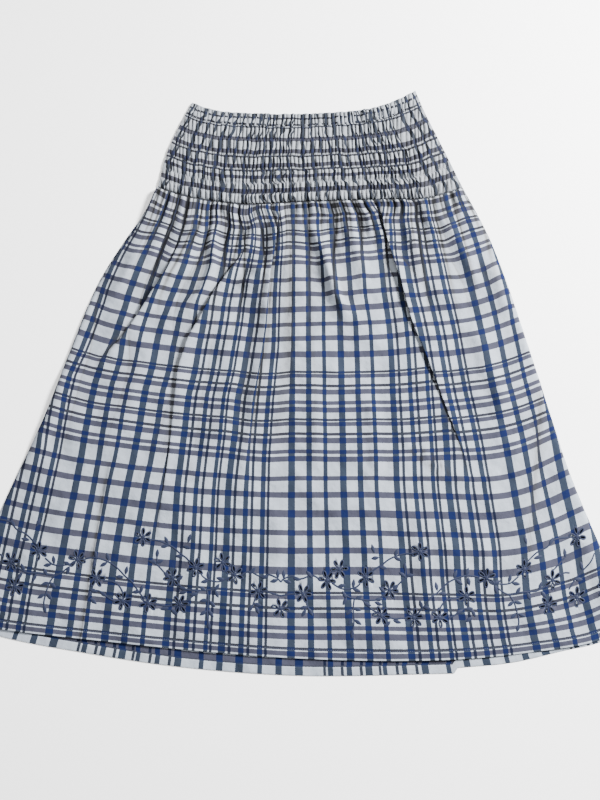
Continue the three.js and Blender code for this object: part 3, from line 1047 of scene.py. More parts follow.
# ---- the front of the skirt -----------------------------------------------------------------------
@dataclass
class SkirtFront:
    """The gathered front of the skirt, with its folds, its turned hem and its cut petals."""

    columns: int = 370
    gentle_reach: float = 16.0  # how far a fold's top part rises before its crest, past its overlap
    soft_width: float = 46.0  # cloth taken up by a soft roll
    painted_shade_reach: float = 1.6  # how far the painted shade beside a fold's edge reaches
    slip_reach: float = 70.0  # cloth past a fold over which the slip of its weft fades
    rise_reach: float = 45.0  # cloth ahead of a fold over which its weft rises
    # painted shade in valleys of each width: its strength, its passes of blur and the depth that counts as
    # full
    painted_valley_shades: tuple[tuple[float, int, float], ...] = ((0.3, 24, 2.2), (1.0, 4, 0.7), (0.3, 150, 5.0))
    side_roll: float = 7.0  # width over which the side edges bend down to the back
    side_gap: float = 0.6  # how far the side edges stay above the back's level
    corner_drop: float = 1.2  # how much closer to the back they come at the hem
    hem_drop: float = 0.75  # how much lower the cloth lies at the hem
    middle_drop: float = 0.5  # and how much more in the hem's middle
    seam_groove: float = 2.3  # half-width of the groove that the waist seam pulls in
    hem_swell: float = 0.35  # how much the hem's double cloth swells
    stitch_dent: float = 0.25  # how deep the hem's stitches pull in
    hem_rise: float = -0.55  # how much higher the turned hem lies than the wall
    # how much wider than even the left half's cloth lies, by its level
    left_slack: Points = (
        (316, 6), (270, 7), (200, 8), (120, 6), (80, 8), (40, 12), (2, 18), (-32, 18), (-67, 15.5),
        (-107, 10.5), (-165, 6.5), (-215, 4), (-318, 1), (-341, 0),
    )
    grid: ClothGrid | None = field(default=None, repr=False)

    def row_levels(self) -> np.ndarray:
        """Gives the cloth lengths of the rows: close below the seam and at the hem, wider between.

        Returns:
            The lengths, from the seam down.
        """
        seam = TOP_W - np.array([0.2, 1.1, 2.1, 3.4])
        near = np.arange(seam[-1] - 2.2, TOP_W - 62, -2.7)
        middle = np.arange(near[-1] - 5, 150, -5.5)
        rest = np.linspace(middle[-1] - 7, HEM_W + 18, 50)
        hem = HEM_W + np.array([14.0, 11.0, 10.0, 9.0, 8.0, 5.0, 2.0, 0.6, 0.0])
        return np.concatenate([seam, near, middle, rest, hem])

    @staticmethod
    def laid_level(w: np.ndarray) -> np.ndarray:
        """Gives the level at which each cloth length lies: the gathers shorten the upper part."""
        return w - 8.5 * smooth((w - 40) / 160) + 4 * smooth((w - 250) / (TOP_W - 250))

    def spread(self, cloth: np.ndarray, side: int, level: float) -> np.ndarray:
        """Gives the width that cloth takes up, as it isn't gathered evenly along a row.

        Args:
            cloth: Cloth distances from the centre.
            side: -1 for the left half, 1 for the right.
            level: The row's level.

        Returns:
            The same distances on an evenly gathered row.
        """
        if side < 0:
            levels, more = zip(*self.left_slack)
            return cloth + float(np.interp(-level, [-v for v in levels], more)) * np.minimum(cloth / 285, 1)
        amount = 10.5 * float(smooth(np.array((level + 300) / 110)))
        return cloth + amount * smooth((cloth - 150) / 175)

    def cloth_end(self, side: int, level: float, b: float) -> float:
        """Gives how far from the centre the cut's side edge is, in cloth.

        Args:
            side: -1 for the left edge, 1 for the right.
            level: The row's level.
            b: The row's share of the way down.

        Returns:
            The distance across the cloth.
        """
        even = 357 + 45 * b + 40 * b * b if side < 0 else 368 + 45 * b + 33 * b * b
        slack = float(self.spread(np.array([even]), side, level)[0]) - even
        return even - slack

    def lay_half(
        self, cloth: np.ndarray, reach: float, side: int, level: float
    ) -> tuple[np.ndarray, np.ndarray, np.ndarray, np.ndarray, np.ndarray]:
        """Lays half a row of cloth from the centre outwards, with its folds.

        Args:
            cloth: Cloth distances from the centre, rising, the last at the side seam.
            reach: How far out the side edge lies.
            side: -1 for the left half, 1 for the right.
            level: The row's level.

        Returns:
            How far out each point lies, its height, how far its weft slips, how strongly shade is painted
            on it beside a fold, and how far it is inside one.
        """
        found = []
        for fold in FOLDS:
            point = fold.read(level)
            if point is None or (point.x - CENTRE_X) * side <= 0 or point.hidden < 0.05:
                continue
            found.append((abs(point.x - CENTRE_X), fold, point))
        found.sort(key=lambda item: item[0])
        hidden_all = sum(point.hidden for _, _, point in found)
        scale = reach / (cloth[-1] - hidden_all)
        out = cloth * scale
        high, slip, deep, under = (np.zeros_like(cloth) for _ in range(4))
        passed = 0.0
        for out_at, fold, point in found:
            start = out_at / scale + passed
            hidden, lift = point.hidden, point.lift
            passed += hidden
            if fold.lie in (Lie.SOFT, Lie.PAINTED_HOLLOW):
                across = (cloth - start) / self.soft_width + 0.5
                out -= hidden * scale * smooth(across)
                bulge = np.sin(np.pi * np.clip(across, 0, 1)) ** 2
                if fold.lie is Lie.SOFT:
                    high += lift * bulge
                else:
                    # painted shade: the hollow darkens the colour and is given no dip
                    deep = np.maximum(deep, 0.1 * lift * bulge)
                continue
            t = (cloth - start) / hidden
            before, inside, after = t < 0, (t >= 0) & (t <= 1), t > 1
            bend = 0.5 * hidden * np.sin(np.pi * np.clip(t, 0, 1))
            out[after] -= hidden * scale
            spread = self.gentle_reach + 0.75 * hidden
            beside = t * hidden if fold.lie is Lie.OUTER_OVER else (1 - t) * hidden
            # painted shade: a dark line on the lower cloth beside the fold's edge, where the top part
            # shades it
            dark = min(1.0, (0.3 + lift / 11) * fold.shade * hidden / 9)
            edge = np.where(beside < 0, np.exp(beside / self.painted_shade_reach), smooth(beside / hidden / 0.4))
            deep = np.maximum(deep, dark * edge * (beside <= hidden))
            if fold.lie is Lie.INNER_OVER:
                out[inside] = (out_at - bend)[inside]
                rise = smooth(1 + t * hidden * scale / spread)
                high[before] += (lift * rise)[before]
                high[inside] += (lift * (1 - np.clip(t, 0, 1) ** 0.7))[inside]
            else:
                out[inside] = (out_at + bend)[inside]
                fall = smooth(1 - (t - 1) * hidden * scale / spread)
                high[after] += (lift * fall)[after]
                high[inside] += (lift * (1 - np.clip(1 - t, 0, 1) ** 0.7))[inside]
            share = hidden / max(p.hidden for p in fold.points)
            past = fold.slip * share * np.exp(-np.clip(cloth - start - hidden, 0, None) / self.slip_reach)
            nearing = np.clip(start - cloth, 0, None) / self.rise_reach
            ahead = fold.rise * share * np.exp(-(nearing**1.5))
            slip += ahead + (past - ahead) * smooth(t)
            under = np.maximum(under, np.sin(np.pi * np.clip(t, 0, 1)) ** 0.5)
        return out, high, slip, deep, under

    def build_grid(self) -> ClothGrid:
        """Works out the front's grid, from the seam down to the hem's fold.

        Returns:
            The grid, with its points moved to where they are seen from above.
        """
        patch = Patch(Edge(SEAM), Edge(FRONT_HEM), Edge(SKIRT_LEFT), Edge(SKIRT_RIGHT))
        lengths = self.row_levels()
        levels = self.laid_level(lengths)
        shares = (TOP_LEVEL - levels) / (TOP_LEVEL - HEM_W)
        share = np.linspace(0.0, 1.0, self.columns)
        rows = []
        for level, b in zip(levels, shares):
            left_u = -self.cloth_end(-1, float(level), float(b))
            right_u = self.cloth_end(1, float(level), float(b))
            u = left_u + share * (right_u - left_u)
            x, z, slip, beside, within = (np.empty_like(u) for _ in range(5))
            for side, end in ((-1, 0.0), (1, 1.0)):
                end_x = float(patch.at(np.array(end), np.array(b))[0])
                chosen = u < 0 if side < 0 else u >= 0
                half = self.spread(np.abs(u[chosen])[::side], side, float(level))
                out, high, slipped, dark, under = self.lay_half(
                    half, abs(end_x - CENTRE_X), side, float(level)
                )
                x[chosen] = (CENTRE_X + side * out)[::side]
                z[chosen], slip[chosen], beside[chosen] = high[::side], slipped[::side], dark[::side]
                within[chosen] = under[::side]
            rows.append((x, z, slip, beside, within, u))
        x, z, slip, beside, within, u = (np.array(column) for column in zip(*rows))
        x, z = (blur(blur(values, 1, 3), 0, 2) for values in (x, z))
        slip = blur(blur(slip, 1, 4), 0, 3)
        w = np.repeat(lengths[:, None], self.columns, axis=1)
        b = np.repeat(shares[:, None], self.columns, axis=1)
        a = np.clip((x - x[:, :1]) / (x[:, -1:] - x[:, :1]), 0, 1)
        gathered, deep = self.gathers(u, w)
        gathered *= 1 - blur(blur(within, 1, 2), 0, 2)
        deep = np.maximum(deep, blur(beside, 0, 2))
        y = patch.at(a, b)[1] + slip + self.sway(u, w, gathered)
        z = z + gathered + self.low_relief(x, y)
        from_side = np.clip(np.minimum(x - x[:, :1], x[:, -1:] - x) / self.side_roll, 0, 1)
        roll = np.sqrt(from_side * (2 - from_side))
        at_corner = smooth((HEM_W + 46 - w) / 30)
        edge_drop = FRONT_LEVEL - BACK_LEVEL - self.side_gap - self.corner_drop * at_corner
        z = FRONT_LEVEL - edge_drop * (1 - roll) + np.clip(z, -0.15, None) * roll
        sewn = np.exp(-(((TOP_W - w) / self.seam_groove) ** 2))
        z = z * (1 - sewn) + sewn * SEAM_LEVEL
        hem_drop = self.hem_drop * roll + self.middle_drop * smooth((190 - np.abs(u)) / 60)
        z = z - hem_drop * smooth((HEM_W + 26 - w) / 26)
        step = smooth((HEM_W + STITCH_UP + 1.5 - w) / 3.0)
        dent = np.exp(-(((w - HEM_W - STITCH_UP) / 1.4) ** 2))
        # painted shade: the pinch attribute darkens the colour in valleys, in the gathers and beside folds,
        # where shade falls
        pinch = np.maximum(deep, shaded(z, self.painted_valley_shades)) * roll
        z = z + self.hem_swell * step - self.stitch_dent * dent
        return ClothGrid(np.stack(in_sight(x, y, z), axis=-1), u, w, pinch)

    @staticmethod
    def sway(u: np.ndarray, w: np.ndarray, gathered: np.ndarray) -> np.ndarray:
        """Gives how far the weft sways from its even run, down where the cloth bulges.

        Args:
            u: Cloth widths.
            w: Cloth lengths.
            gathered: The gathers' height at each point.

        Returns:
            How far up each point of the weft is moved.
        """
        below = TOP_W - w
        free = smooth(below / 14)
        swayed = -WEFT_DRAW * (gathered - blur(gathered, 1, 40))
        for wave in WEFT_WAVES:
            fade = np.exp(-((below / wave.fade) ** wave.power))
            swayed = swayed + wave.height * ripple(u / wave.across, below / wave.along, wave.seed) * fade
        return free * swayed + sum(sag.at(u, w) for sag in SAGS)

    @staticmethod
    def gathers(u: np.ndarray, w: np.ndarray) -> tuple[np.ndarray, np.ndarray]:
        """Gives the gathers that are sewn into the seam.

        Args:
            u: Cloth widths.
            w: Cloth lengths.

        Returns:
            The gathers' height and how strongly shade is painted in their valleys, from 0 to 1.
        """
        below = TOP_W - w
        high, deep = np.zeros_like(u), np.zeros_like(u)
        for band in GATHERS:
            drift = 1.7 * ripple(u / (band.pitch * 3.1), below / 160, band.seed)
            uneven_height = 0.65 + 0.5 * ripple(u / (band.pitch * 2.3), below / 110, band.seed + 20)
            phase = math.pi * u / band.pitch + drift
            reach = band.fade * (0.8 + 0.6 * ripple(u / (band.pitch * 1.3), 0 * below, band.seed + 40))
            fade = uneven_height * np.exp(-((below / reach) ** 1.8))
            high += band.height * fade * np.abs(np.sin(phase)) ** 0.8
            # painted shade: dark lines in the gathers' valleys
            deep = np.maximum(deep, band.shade * fade * np.abs(np.cos(phase)) ** (band.pitch * 1.1))
        return high, np.clip(deep, 0, 1)

    @staticmethod
    def low_relief(x: np.ndarray, y: np.ndarray) -> np.ndarray:
        """Gives the height of the placed creases and of the cloth's own unevenness.

        Args:
            x: Places across in plan.
            y: Places along in plan.

        Returns:
            The height at each place.
        """
        high = 0.9 * (1 + ripple(x / 58, y / 80, 1)) + 0.5 * (1 + ripple(x / 24, y / 40, 2))
        for crease in CREASES:
            length = math.hypot(crease.x1 - crease.x0, crease.y1 - crease.y0)
            along_x, along_y = (crease.x1 - crease.x0) / length, (crease.y1 - crease.y0) / length
            along = (x - crease.x0) * along_x + (y - crease.y0) * along_y
            across = (x - crease.x0) * along_y - (y - crease.y0) * along_x
            bow = 0.04 * length * np.sin(np.pi * np.clip(along / length, 0, 1))
            ends = smooth(along / (0.3 * length)) * smooth((length - along) / (0.3 * length))
            ridge = np.exp(-(((across + bow) / crease.spread) ** 2))
            high = high + CREASE_GAIN * crease.height * ends * ridge
        return high

    def build(self) -> bpy.types.Object:
        """Makes the front's shell: the cloth and its turned hem, thickened.

        Returns:
            The shell's object.
        """
        self.grid = self.build_grid()
        made = turned(self.grid, HEM_TURN, self.hem_rise, True).mesh("skirt_front_cloth")
        thicken(made, CLOTH)
        return evaluated(made)


def turned(grid: ClothGrid, turn: float, rise: float, at_hem: bool) -> ClothGrid:
    """Adds the cloth that is turned over an edge and lies back on the sheet.

    Args:
        grid: The sheet up to the edge's fold.
        turn: How much cloth is turned.
        rise: How much higher the turned cloth lies than the sheet, negative where it lies below.
        at_hem: Whether the edge is the grid's last row, and not its first.

    Returns:
        A new grid with the turned rows.
    """
    way = 1 if at_hem else -1  # rows are read so that the edge comes last
    place, u, w = grid.place[::way], grid.u[::way], grid.w[::way]
    pinch = np.zeros_like(u) if grid.pinch is None else grid.pinch[::way]
    edge, inner = place[-1], -4  # a row far enough in to give the way back
    back = place[inner] - edge
    back[:, 2] = 0
    back /= np.linalg.norm(back, axis=1)[:, None]
    sign = np.sign(w[-1] - w[inner])
    radius = abs(rise) / 2
    extra_place, extra_u, extra_w = [], [], []
    for angle in (45, 90, 135, 180):
        turn_by = math.radians(angle)
        moved = edge - back * radius * math.sin(turn_by)
        moved = moved + np.array([0, 0, rise / 2 * (1 - math.cos(turn_by))])
        extra_place.append(moved)
        extra_u.append(u[-1])
        extra_w.append(w[-1] + sign * radius * turn_by)
    flat_z = edge[:, 2] + rise
    for share in (0.15, 0.4, 0.7, 1.0):
        moved = edge + back * turn * share
        moved[:, 2] = flat_z
        extra_place.append(moved)
        extra_u.append(u[-1])
        extra_w.append(w[-1] + sign * (radius * math.pi + turn * share))
    extra_pinch = np.repeat(pinch[-1:], len(extra_w), axis=0)
    return ClothGrid(*(
        np.concatenate([kept, np.array(extra)])[::way]
        for kept, extra in (
            (place, extra_place), (u, extra_u), (w, extra_w), (pinch, extra_pinch),
        )
    ))


# ---- the back of the skirt ------------------------------------------------------------------------
@dataclass
class SkirtBack:
    """The back of the skirt: flat under the front, its turned hem showing below the front's."""

    columns: int = 180
    rows: int = 60
    hem_in_plaid: float = 212.5  # where in the weft's repeat the back's hem lies
    side_rise: float = 0.25  # how much the side edges lift towards the front's
    hem_rise: float = 0.75  # how much higher the turned hem lies than the wall

    def hem_y(self, x: np.ndarray) -> np.ndarray:
        """Gives the back hem's height in plan at each X, with its step where the cloth is folded."""
        samples = np.vstack([Edge(BACK_HEM_LEFT).samples, Edge(BACK_HEM_RIGHT).samples])
        return np.interp(x, samples[:, 0], samples[:, 1])

    def build(self) -> bpy.types.Object:
        """Makes the back's shell: the flat cloth and its turned hem, thickened.

        Returns:
            The shell's object.
        """
        patch = Patch(Edge(SEAM), Edge(FRONT_HEM), Edge(SKIRT_LEFT), Edge(SKIRT_RIGHT))
        a, b = np.meshgrid(np.linspace(0, 1, self.columns), np.linspace(0.001, 1, self.rows))
        x, y = patch.at(a, b)
        front_y = patch.at(a[-1], np.ones(self.columns))[1]
        y = y + (self.hem_y(x[-1]) - front_y) * smooth((b - 0.7) / 0.3)
        w = WEFT_START + self.hem_in_plaid + (TOP_W - HEM_W) * (1 - b)
        u = -(x + 1.3)
        z = np.full_like(x, BACK_LEVEL)
        from_side = np.minimum(x - x[:, :1], x[:, -1:] - x)
        z = z + self.side_rise * (1 - smooth(from_side / 5.0))
        grid = ClothGrid(np.stack([x, y, z], axis=-1), u, w)
        made = turned(grid, HEM_TURN, self.hem_rise, True).mesh("skirt_back_cloth")
        thicken(made, CLOTH)
        return evaluated(made)


# ---- the yoke -------------------------------------------------------------------------------------
@dataclass
class Yoke:
    """A shirred yoke piece: fine puckers between rows of elastic thread, a turned casing on top.

    Attributes:
        name: The piece's name.
        level: The height of its wall's middle.
        columns: Points across.
        rows: Points down.
        pucker: The puckers' height, or 0 for a smooth piece.
        casing_rise: How much higher the casing's turned cloth lies than the wall.
        cloth_width: The cloth across, before it is shirred.
        length: The length from the waist's fold to the seam.
        cloth_length: The cloth that this length takes up.
        pucker_pitch: From one pucker to the next.
        tuck: How much more cloth the valleys between the puckers hold than the ridges.
        painted_yoke_shade: How strongly shade is painted over the whole puckered yoke, before its valleys.
        casing_swell: How much the casing's double cloth swells.
        painted_valley_shades: How strongly shade is painted in valleys of each width.
        elastic_rows: Each row of elastic thread, down from the waist's fold.
        grid: The cloth's grid, once it is built.
    """

    name: str
    level: float
    columns: int
    rows: int
    pucker: float
    casing_rise: float = -0.8
    cloth_width: float = 740.0
    length: float = 160.0
    cloth_length: float = 181.0
    pucker_pitch: float = 6.2
    tuck: float = 2.6
    painted_yoke_shade: float = 0.25
    casing_swell: float = 0.55
    painted_valley_shades: tuple[tuple[float, int, float], ...] = ((1.0, 7, 0.33), (0.4, 60, 1.6))
    elastic_rows: tuple[float, ...] = (22.0, 47.5, 77.0, 101.5, 124.5, 142.5)
    grid: ClothGrid | None = field(default=None, repr=False)

    def relief(self, s: np.ndarray, down: np.ndarray) -> np.ndarray:
        """Gives the puckers' height: ridges from one elastic row to the next, pinched at each.

        Args:
            s: Distance across from the centre.
            down: Distance down from the top edge.

        Returns:
            The height above the wall's lowest lie.
        """
        band = np.searchsorted(np.array(self.elastic_rows), down).astype(float)
        phase = 1.6 * ripple(s / 13, band * 3.7 + down / 70, 31) + 1.3 * ripple(s / 41, down / 60, 32)
        shifted = phase + 0.9 * ripple(band + s / 300, 0 * s, 39)
        ridge = np.abs(np.sin(math.pi * s / self.pucker_pitch + shifted)) ** 0.6
        finer = np.abs(np.sin(math.tau * s / self.pucker_pitch + 2 * phase)) ** 0.85
        height_here = 0.9 + 0.5 * ripple(s / 8.3, down / 16 + band, 34)
        pinch = np.zeros_like(s)
        for row in self.elastic_rows:
            pinch = np.maximum(pinch, np.exp(-(((down - row) / 2.6) ** 2)))
        puckers = ridge * height_here * (1 - 0.8 * pinch) + 0.3 * finer * pinch
        waves = 0.5 * (1 + ripple(s / 48, down / 40, 35)) + 0.35 * (1 + ripple(s / 17, down / 23, 40))
        return self.pucker * puckers + waves - 0.5 * pinch

    def build(self) -> bpy.types.Object:
        """Makes the yoke's shell, puckered and turned at the top.

        Returns:
            The shell's object.
        """
        patch = Patch(Edge(WAIST), Edge(SEAM), Edge(YOKE_LEFT), Edge(YOKE_RIGHT))
        a, b = np.meshgrid(np.linspace(0, 1, self.columns), np.linspace(0.0, 0.998, self.rows))
        x, y = patch.at(a, b)
        down = b * self.length
        s = x - CENTRE_X
        at_side = smooth(np.minimum(a, 1 - a) / 0.025)
        high = self.relief(s, down) * (0.2 + 0.8 * at_side) if self.pucker else 0 * s
        tucked = blur(1 + self.tuck * valleys(high, 6, 0.5) ** 2, 0, 5)
        arc = np.cumsum(tucked * np.gradient(s, axis=1), axis=1)
        share = (arc - arc[:, :1]) / (arc[:, -1:] - arc[:, :1])
        doubled = self.casing_swell * smooth((CASING - down) / 2.5 + 0.5)
        sewn = np.exp(-(((self.length - down) / 2.6) ** 2))
        z = (self.level + high + doubled) * (1 - sewn) + min(SEAM_LEVEL, self.level) * sewn
        sway = 2.6 * ripple(s / 9, down / 17, 36) + 1.8 * ripple(s / 30, down / 40, 41)
        u = (share - 0.5) * self.cloth_width + sway + 4
        w = b * self.cloth_length + 1.8 * ripple(s / 12, down / 30, 37) - 0.5 * high
        y = y + 0.9 * ripple(s / 5, 0 * s, 38) * smooth(1 - down / 8)
        # painted shade: the whole puckered yoke is painted darker, and darker still in its valleys
        between = shaded(z, self.painted_valley_shades)
        pinch = self.painted_yoke_shade + (1 - self.painted_yoke_shade) * between if self.pucker else 0 * z
        self.grid = ClothGrid(np.stack(in_sight(x, y, z), axis=-1), u, w, pinch)
        made = turned(self.grid, CASING - 1, self.casing_rise, False).mesh(self.name)
        thicken(made, CLOTH)
        return evaluated(made)

    def row_at(self, down: float) -> int:
        """Gives the grid row that lies at a distance down from the top edge."""
        return round(down / self.length * (self.rows - 1))


# ---- embroidery -----------------------------------------------------------------------------------
BOTH = (-1, 1)
RIGHT = (1,)


@dataclass(frozen=True)
class Flower:
    """A flower of the border: out from the axis, up from the hem, and the sides that have it."""

    out: float
    up: float
    sides: tuple[int, ...] = BOTH


@dataclass(frozen=True)
class Vine:
    """A vine of the border through a few places out and up, and the sides that have it."""

    points: Points
    sides: tuple[int, ...] = BOTH


@dataclass(frozen=True)
class Leaf:
    """A leaf: its middle out and up, the degrees that it points to on the left, its half-length."""

    out: float
    up: float
    points_to: float
    reach: float = 6.0
    sides: tuple[int, ...] = BOTH


FLOWERS: tuple[Flower, ...] = tuple(
    Flower(*row) for row in (
        (0, 61, RIGHT), (30, 80.5), (63, 98.5), (80.5, 113), (116.5, 103.5), (134, 56), (147.5, 88),
        (176.5, 53.8), (194, 136), (210.5, 53.3), (250, 78), (280.5, 98.3), (334, 104.5), (356, 56),
        (369, 86.5), (396, 61), (416, 136, RIGHT), (436, 64, RIGHT),
    )
)

VINES: tuple[Vine, ...] = (
    Vine(((405, 137), (382, 137), (373, 128.5), (359, 124.8), (348, 118.5), (338, 112))),
    Vine(((324, 96), (318, 92.3), (312, 89), (302, 88.5), (291, 91), (283, 94))),
    Vine(((394, 92), (387, 93.5), (381, 90))),
    Vine(((358, 80), (344, 75), (334, 76), (319, 76), (307, 75), (298, 80), (290, 88))),
    Vine(((307, 75), (312, 65), (313.5, 51), (313.8, 40), (309.4, 30))),
    Vine((
        (270, 100), (264, 102), (256, 103.5), (247, 102.3), (237, 99.8), (228, 96), (219, 90),
        (211, 83.5), (201, 78), (194, 70), (187, 63.5), (182, 58),
    )),
    Vine(((240, 75), (228, 76), (219, 72), (214, 67), (211, 62))),
    Vine(((222, 52), (232, 56), (242, 62), (251, 62), (256, 55))),
    Vine(((184, 133.5), (173, 133.5), (162, 131), (149, 126), (141, 120), (131, 115), (125, 110))),
    Vine(((178, 106), (169, 102), (159, 93.5), (154, 90))),
    Vine(((171.5, 113), (170, 102))),
    Vine(((108, 95), (103, 91), (94, 88.5), (84, 88), (75, 92), (70, 95))),
    Vine(((140, 82), (133, 77), (128, 75), (114, 75), (104, 76), (92, 78), (84, 83))),
    Vine(((110, 75), (117, 68), (124, 62), (130, 60))),
    Vine(((99, 76), (97, 66), (97, 56), (97, 47), (94, 33.5))),
    Vine(((168, 53), (160, 53), (152, 52), (144, 54))),
    Vine((
        (54, 98.5), (47, 103), (41, 104), (32, 100), (24, 98.5), (17, 102), (9, 100), (3, 97), (0, 93.5),
    )),
    Vine(((19, 80), (9, 78.5), (0, 76.5))),
    Vine(((34, 71), (36, 65), (39, 57))),
    Vine(((388, 72), (400, 84), (412, 92), (424, 100), (432, 110)), RIGHT),
    Vine(((372, 98), (384, 106), (392, 112)), RIGHT),
)

LEAVES: tuple[Leaf, ...] = tuple(
    Leaf(*row) for row in (
        (379, 135, 135), (356, 117, 180, 6.6), (344, 141, 80, 6.6), (312, 95, 110), (319, 87.5, 195),
        (290, 83.5, 260), (293, 92, 160), (351, 81, 120), (353, 70, 240), (333, 70, 250),
        (320, 78.5, 130), (317, 64, 200), (307, 63.5, -30), (319, 48, 215), (308, 48.5, -40),
        (311, 33, -65), (256, 108, 110), (256, 96, 265), (239, 106, 115), (243, 96, 215),
        (211, 91.6, 85), (219, 82.5, 185), (187.5, 70, 80), (194, 66, 190), (237.5, 59, 150, 6.6),
        (251, 62, 170), (256, 56.6, 250), (249, 49, -35), (161, 135, 120), (162.5, 127, 200),
        (129, 140, 75, 6.6), (131, 128, 170), (141, 116, 185), (171.5, 117, 90), (167, 107, 30),
        (177, 106, 175), (156, 91, 140), (137.5, 88, 40), (132, 76, -10), (131, 71, 200),
        (99, 95, 100), (103, 87, 195), (82.5, 92, 170), (86, 81, 60), (86, 73, -60), (105, 78, 150),
        (116, 70, 20), (102.5, 63.5, 190), (91, 60, -40), (102, 48, 215), (92, 48, -50), (94, 34, -80),
        (154, 49, 195), (141, 46, -40), (39, 105, 45, 6.6), (22, 98.5, 190), (4, 103.5, 90),
        (9, 94.5, 195), (31, 63.5, -10), (40, 58.5, 240), (31, 57, -60), (394, 118, 90, 6.0, RIGHT),
        (412, 98, 80, 6.0, RIGHT), (404, 82, 200, 6.0, RIGHT),
    )
)


@dataclass
class Border:
    """The embroidered border, mirrored about an axis: cut-petal flowers, vines and leaves.

    Attributes:
        front: The skirt's front, which carries it.
        axis: The X about which it is mirrored.
        width: How wide the chart lies at the hem, as a share.
        taper: How much narrower it gets for each millimetre up.
        chart_drop: How much lower the chart lies than the hem's line.
        petals: Petals of one flower.
        petal_length: The length of a petal's hole.
        petal_width: The width of a petal's hole.
        petal_radius: From a flower's middle to a petal's.
        satin: The width of the stitched rim.
        satin_inside: How far the rim reaches into the hole.
        satin_height: How far the stitches stand up.
        disc: The radius of a flower's middle.
        vine_half: Half a vine's width.
        leaf_half: Half a leaf's width.
    """

    front: SkirtFront
    axis: float = -25.2
    width: float = 0.992
    taper: float = 0.00034
    chart_drop: float = 1.5
    petals: int = 6
    petal_length: float = 7.8
    petal_width: float = 3.6
    petal_radius: float = 7.2
    satin: float = 2.3
    satin_inside: float = 0.65
    satin_height: float = 0.7
    disc: float = 2.9
    vine_half: float = 1.15
    leaf_half: float = 2.7

    def place(self, out: float, up: float, side: int) -> tuple[float, float]:
        """Gives the plan place of a point of the border's chart.

        Args:
            out: How far out from the axis.
            up: How far up from the hem.
            side: -1 for the left, 1 for the right.

        Returns:
            The X and Y in outline millimetres.
        """
        hem = Edge(FRONT_HEM).samples
        x = self.axis + side * out * (self.width - self.taper * up)
        return x, float(np.interp(x, hem[:, 0], hem[:, 1])) + up - self.chart_drop

    def centres(self) -> list[tuple[float, float]]:
        """Gives the flowers' middles in plan."""
        return [self.place(f.out, f.up, side) for f in FLOWERS for side in f.sides]

    def petal_frames(self) -> list[tuple[float, float, float]]:
        """Gives where the petals grow from and point to.

        Returns:
            For each petal its flower's middle, as cloth width and length, and its angle.
        """
        frames = []
        for k, (x, y) in enumerate(self.centres()):
            u, w = self.front.grid.nearest_cloth(x, y)
            turn = uneven(k, 3) * math.pi
            for petal in range(self.petals):
                frames.append((u, w, turn + petal * math.tau / self.petals))
        return frames

    def petal_ring(self, u: float, w: float, angle: float, grow: float, count: int) -> np.ndarray:
        """Gives the outline of a petal's hole.

        Args:
            u: The flower's middle, as a cloth width.
            w: The flower's middle, as a cloth length.
            angle: Where the petal points.
            grow: How far the outline is grown outwards.
            count: Points on the outline.

        Returns:
            Their cloth coordinates, one row each.
        """
        t = np.arange(count) * math.tau / count
        length, width = self.petal_length / 2 + grow, self.petal_width / 2 + grow
        along = self.petal_radius + 0.25 + length * np.cos(t)
        across = width * np.sin(t) * (0.86 + 0.16 * np.cos(t))
        return np.stack(
            [
                u + along * math.cos(angle) - across * math.sin(angle),
                w + along * math.sin(angle) + across * math.cos(angle),
            ],
            axis=-1,
        )

    def cut(self, cloth: bpy.types.Object) -> None:
        """Cuts the petals' holes through the front's shell.

        Args:
            cloth: The front's object, which gets a new mesh.
        """
        sides = 10
        points, faces = [], []
        for u, w, angle in self.petal_frames():
            ring = self.petal_ring(u, w, angle, 0.0, sides)
            place, _ = self.front.grid.lift_off(ring[:, 0], ring[:, 1])
            first = len(points)
            for depth in (-3.0, 3.0):
                points.extend((place + np.array([0, 0, depth])).tolist())
            faces.append([first + k for k in reversed(range(sides))])
            faces.append([first + sides + k for k in range(sides)])
            for k in range(sides):
                n = (k + 1) % sides
                faces.append([first + k, first + n, first + sides + n, first + sides + k])
        blade = object_from(points, faces, "petal_blades")
        cutting = cloth.modifiers.new("petals", "BOOLEAN")
        cutting.operation = "DIFFERENCE"
        cutting.solver = "MANIFOLD"
        cutting.object = blade
        evaluated(cloth)
        bpy.data.objects.remove(blade)

    def satin_rings(self) -> bpy.types.Object:
        """Makes the satin stitch round every cut petal and the disc at each flower's middle.

        Returns:
            The stitches' object.
        """
        count, profile = 16, ((0.0, 0.0), (0.25, 0.85), (0.6, 1.0), (1.0, 0.0))
        points, faces = [], []
        for u, w, angle in self.petal_frames():
            first = len(points)
            for grow, high in profile:
                ring = self.petal_ring(u, w, angle, grow * self.satin - self.satin_inside, count)
                place, normal = self.front.grid.lift_off(ring[:, 0], ring[:, 1])
                points.extend((place + normal * (0.1 + high * self.satin_height)).tolist())
            for p in range(len(profile) - 1):
                for k in range(count):
                    n = (k + 1) % count
                    low, top = first + p * count, first + (p + 1) * count
                    faces.append([low + k, top + k, top + n, low + n])
        for k, (x, y) in enumerate(self.centres()):
            u, w = self.front.grid.nearest_cloth(x, y)
            self.add_pad(points, faces, u, w, self.disc, self.disc, uneven(k, 3) * math.pi)
        return object_from(points, faces, "flower_satin", smooth_shade=True)

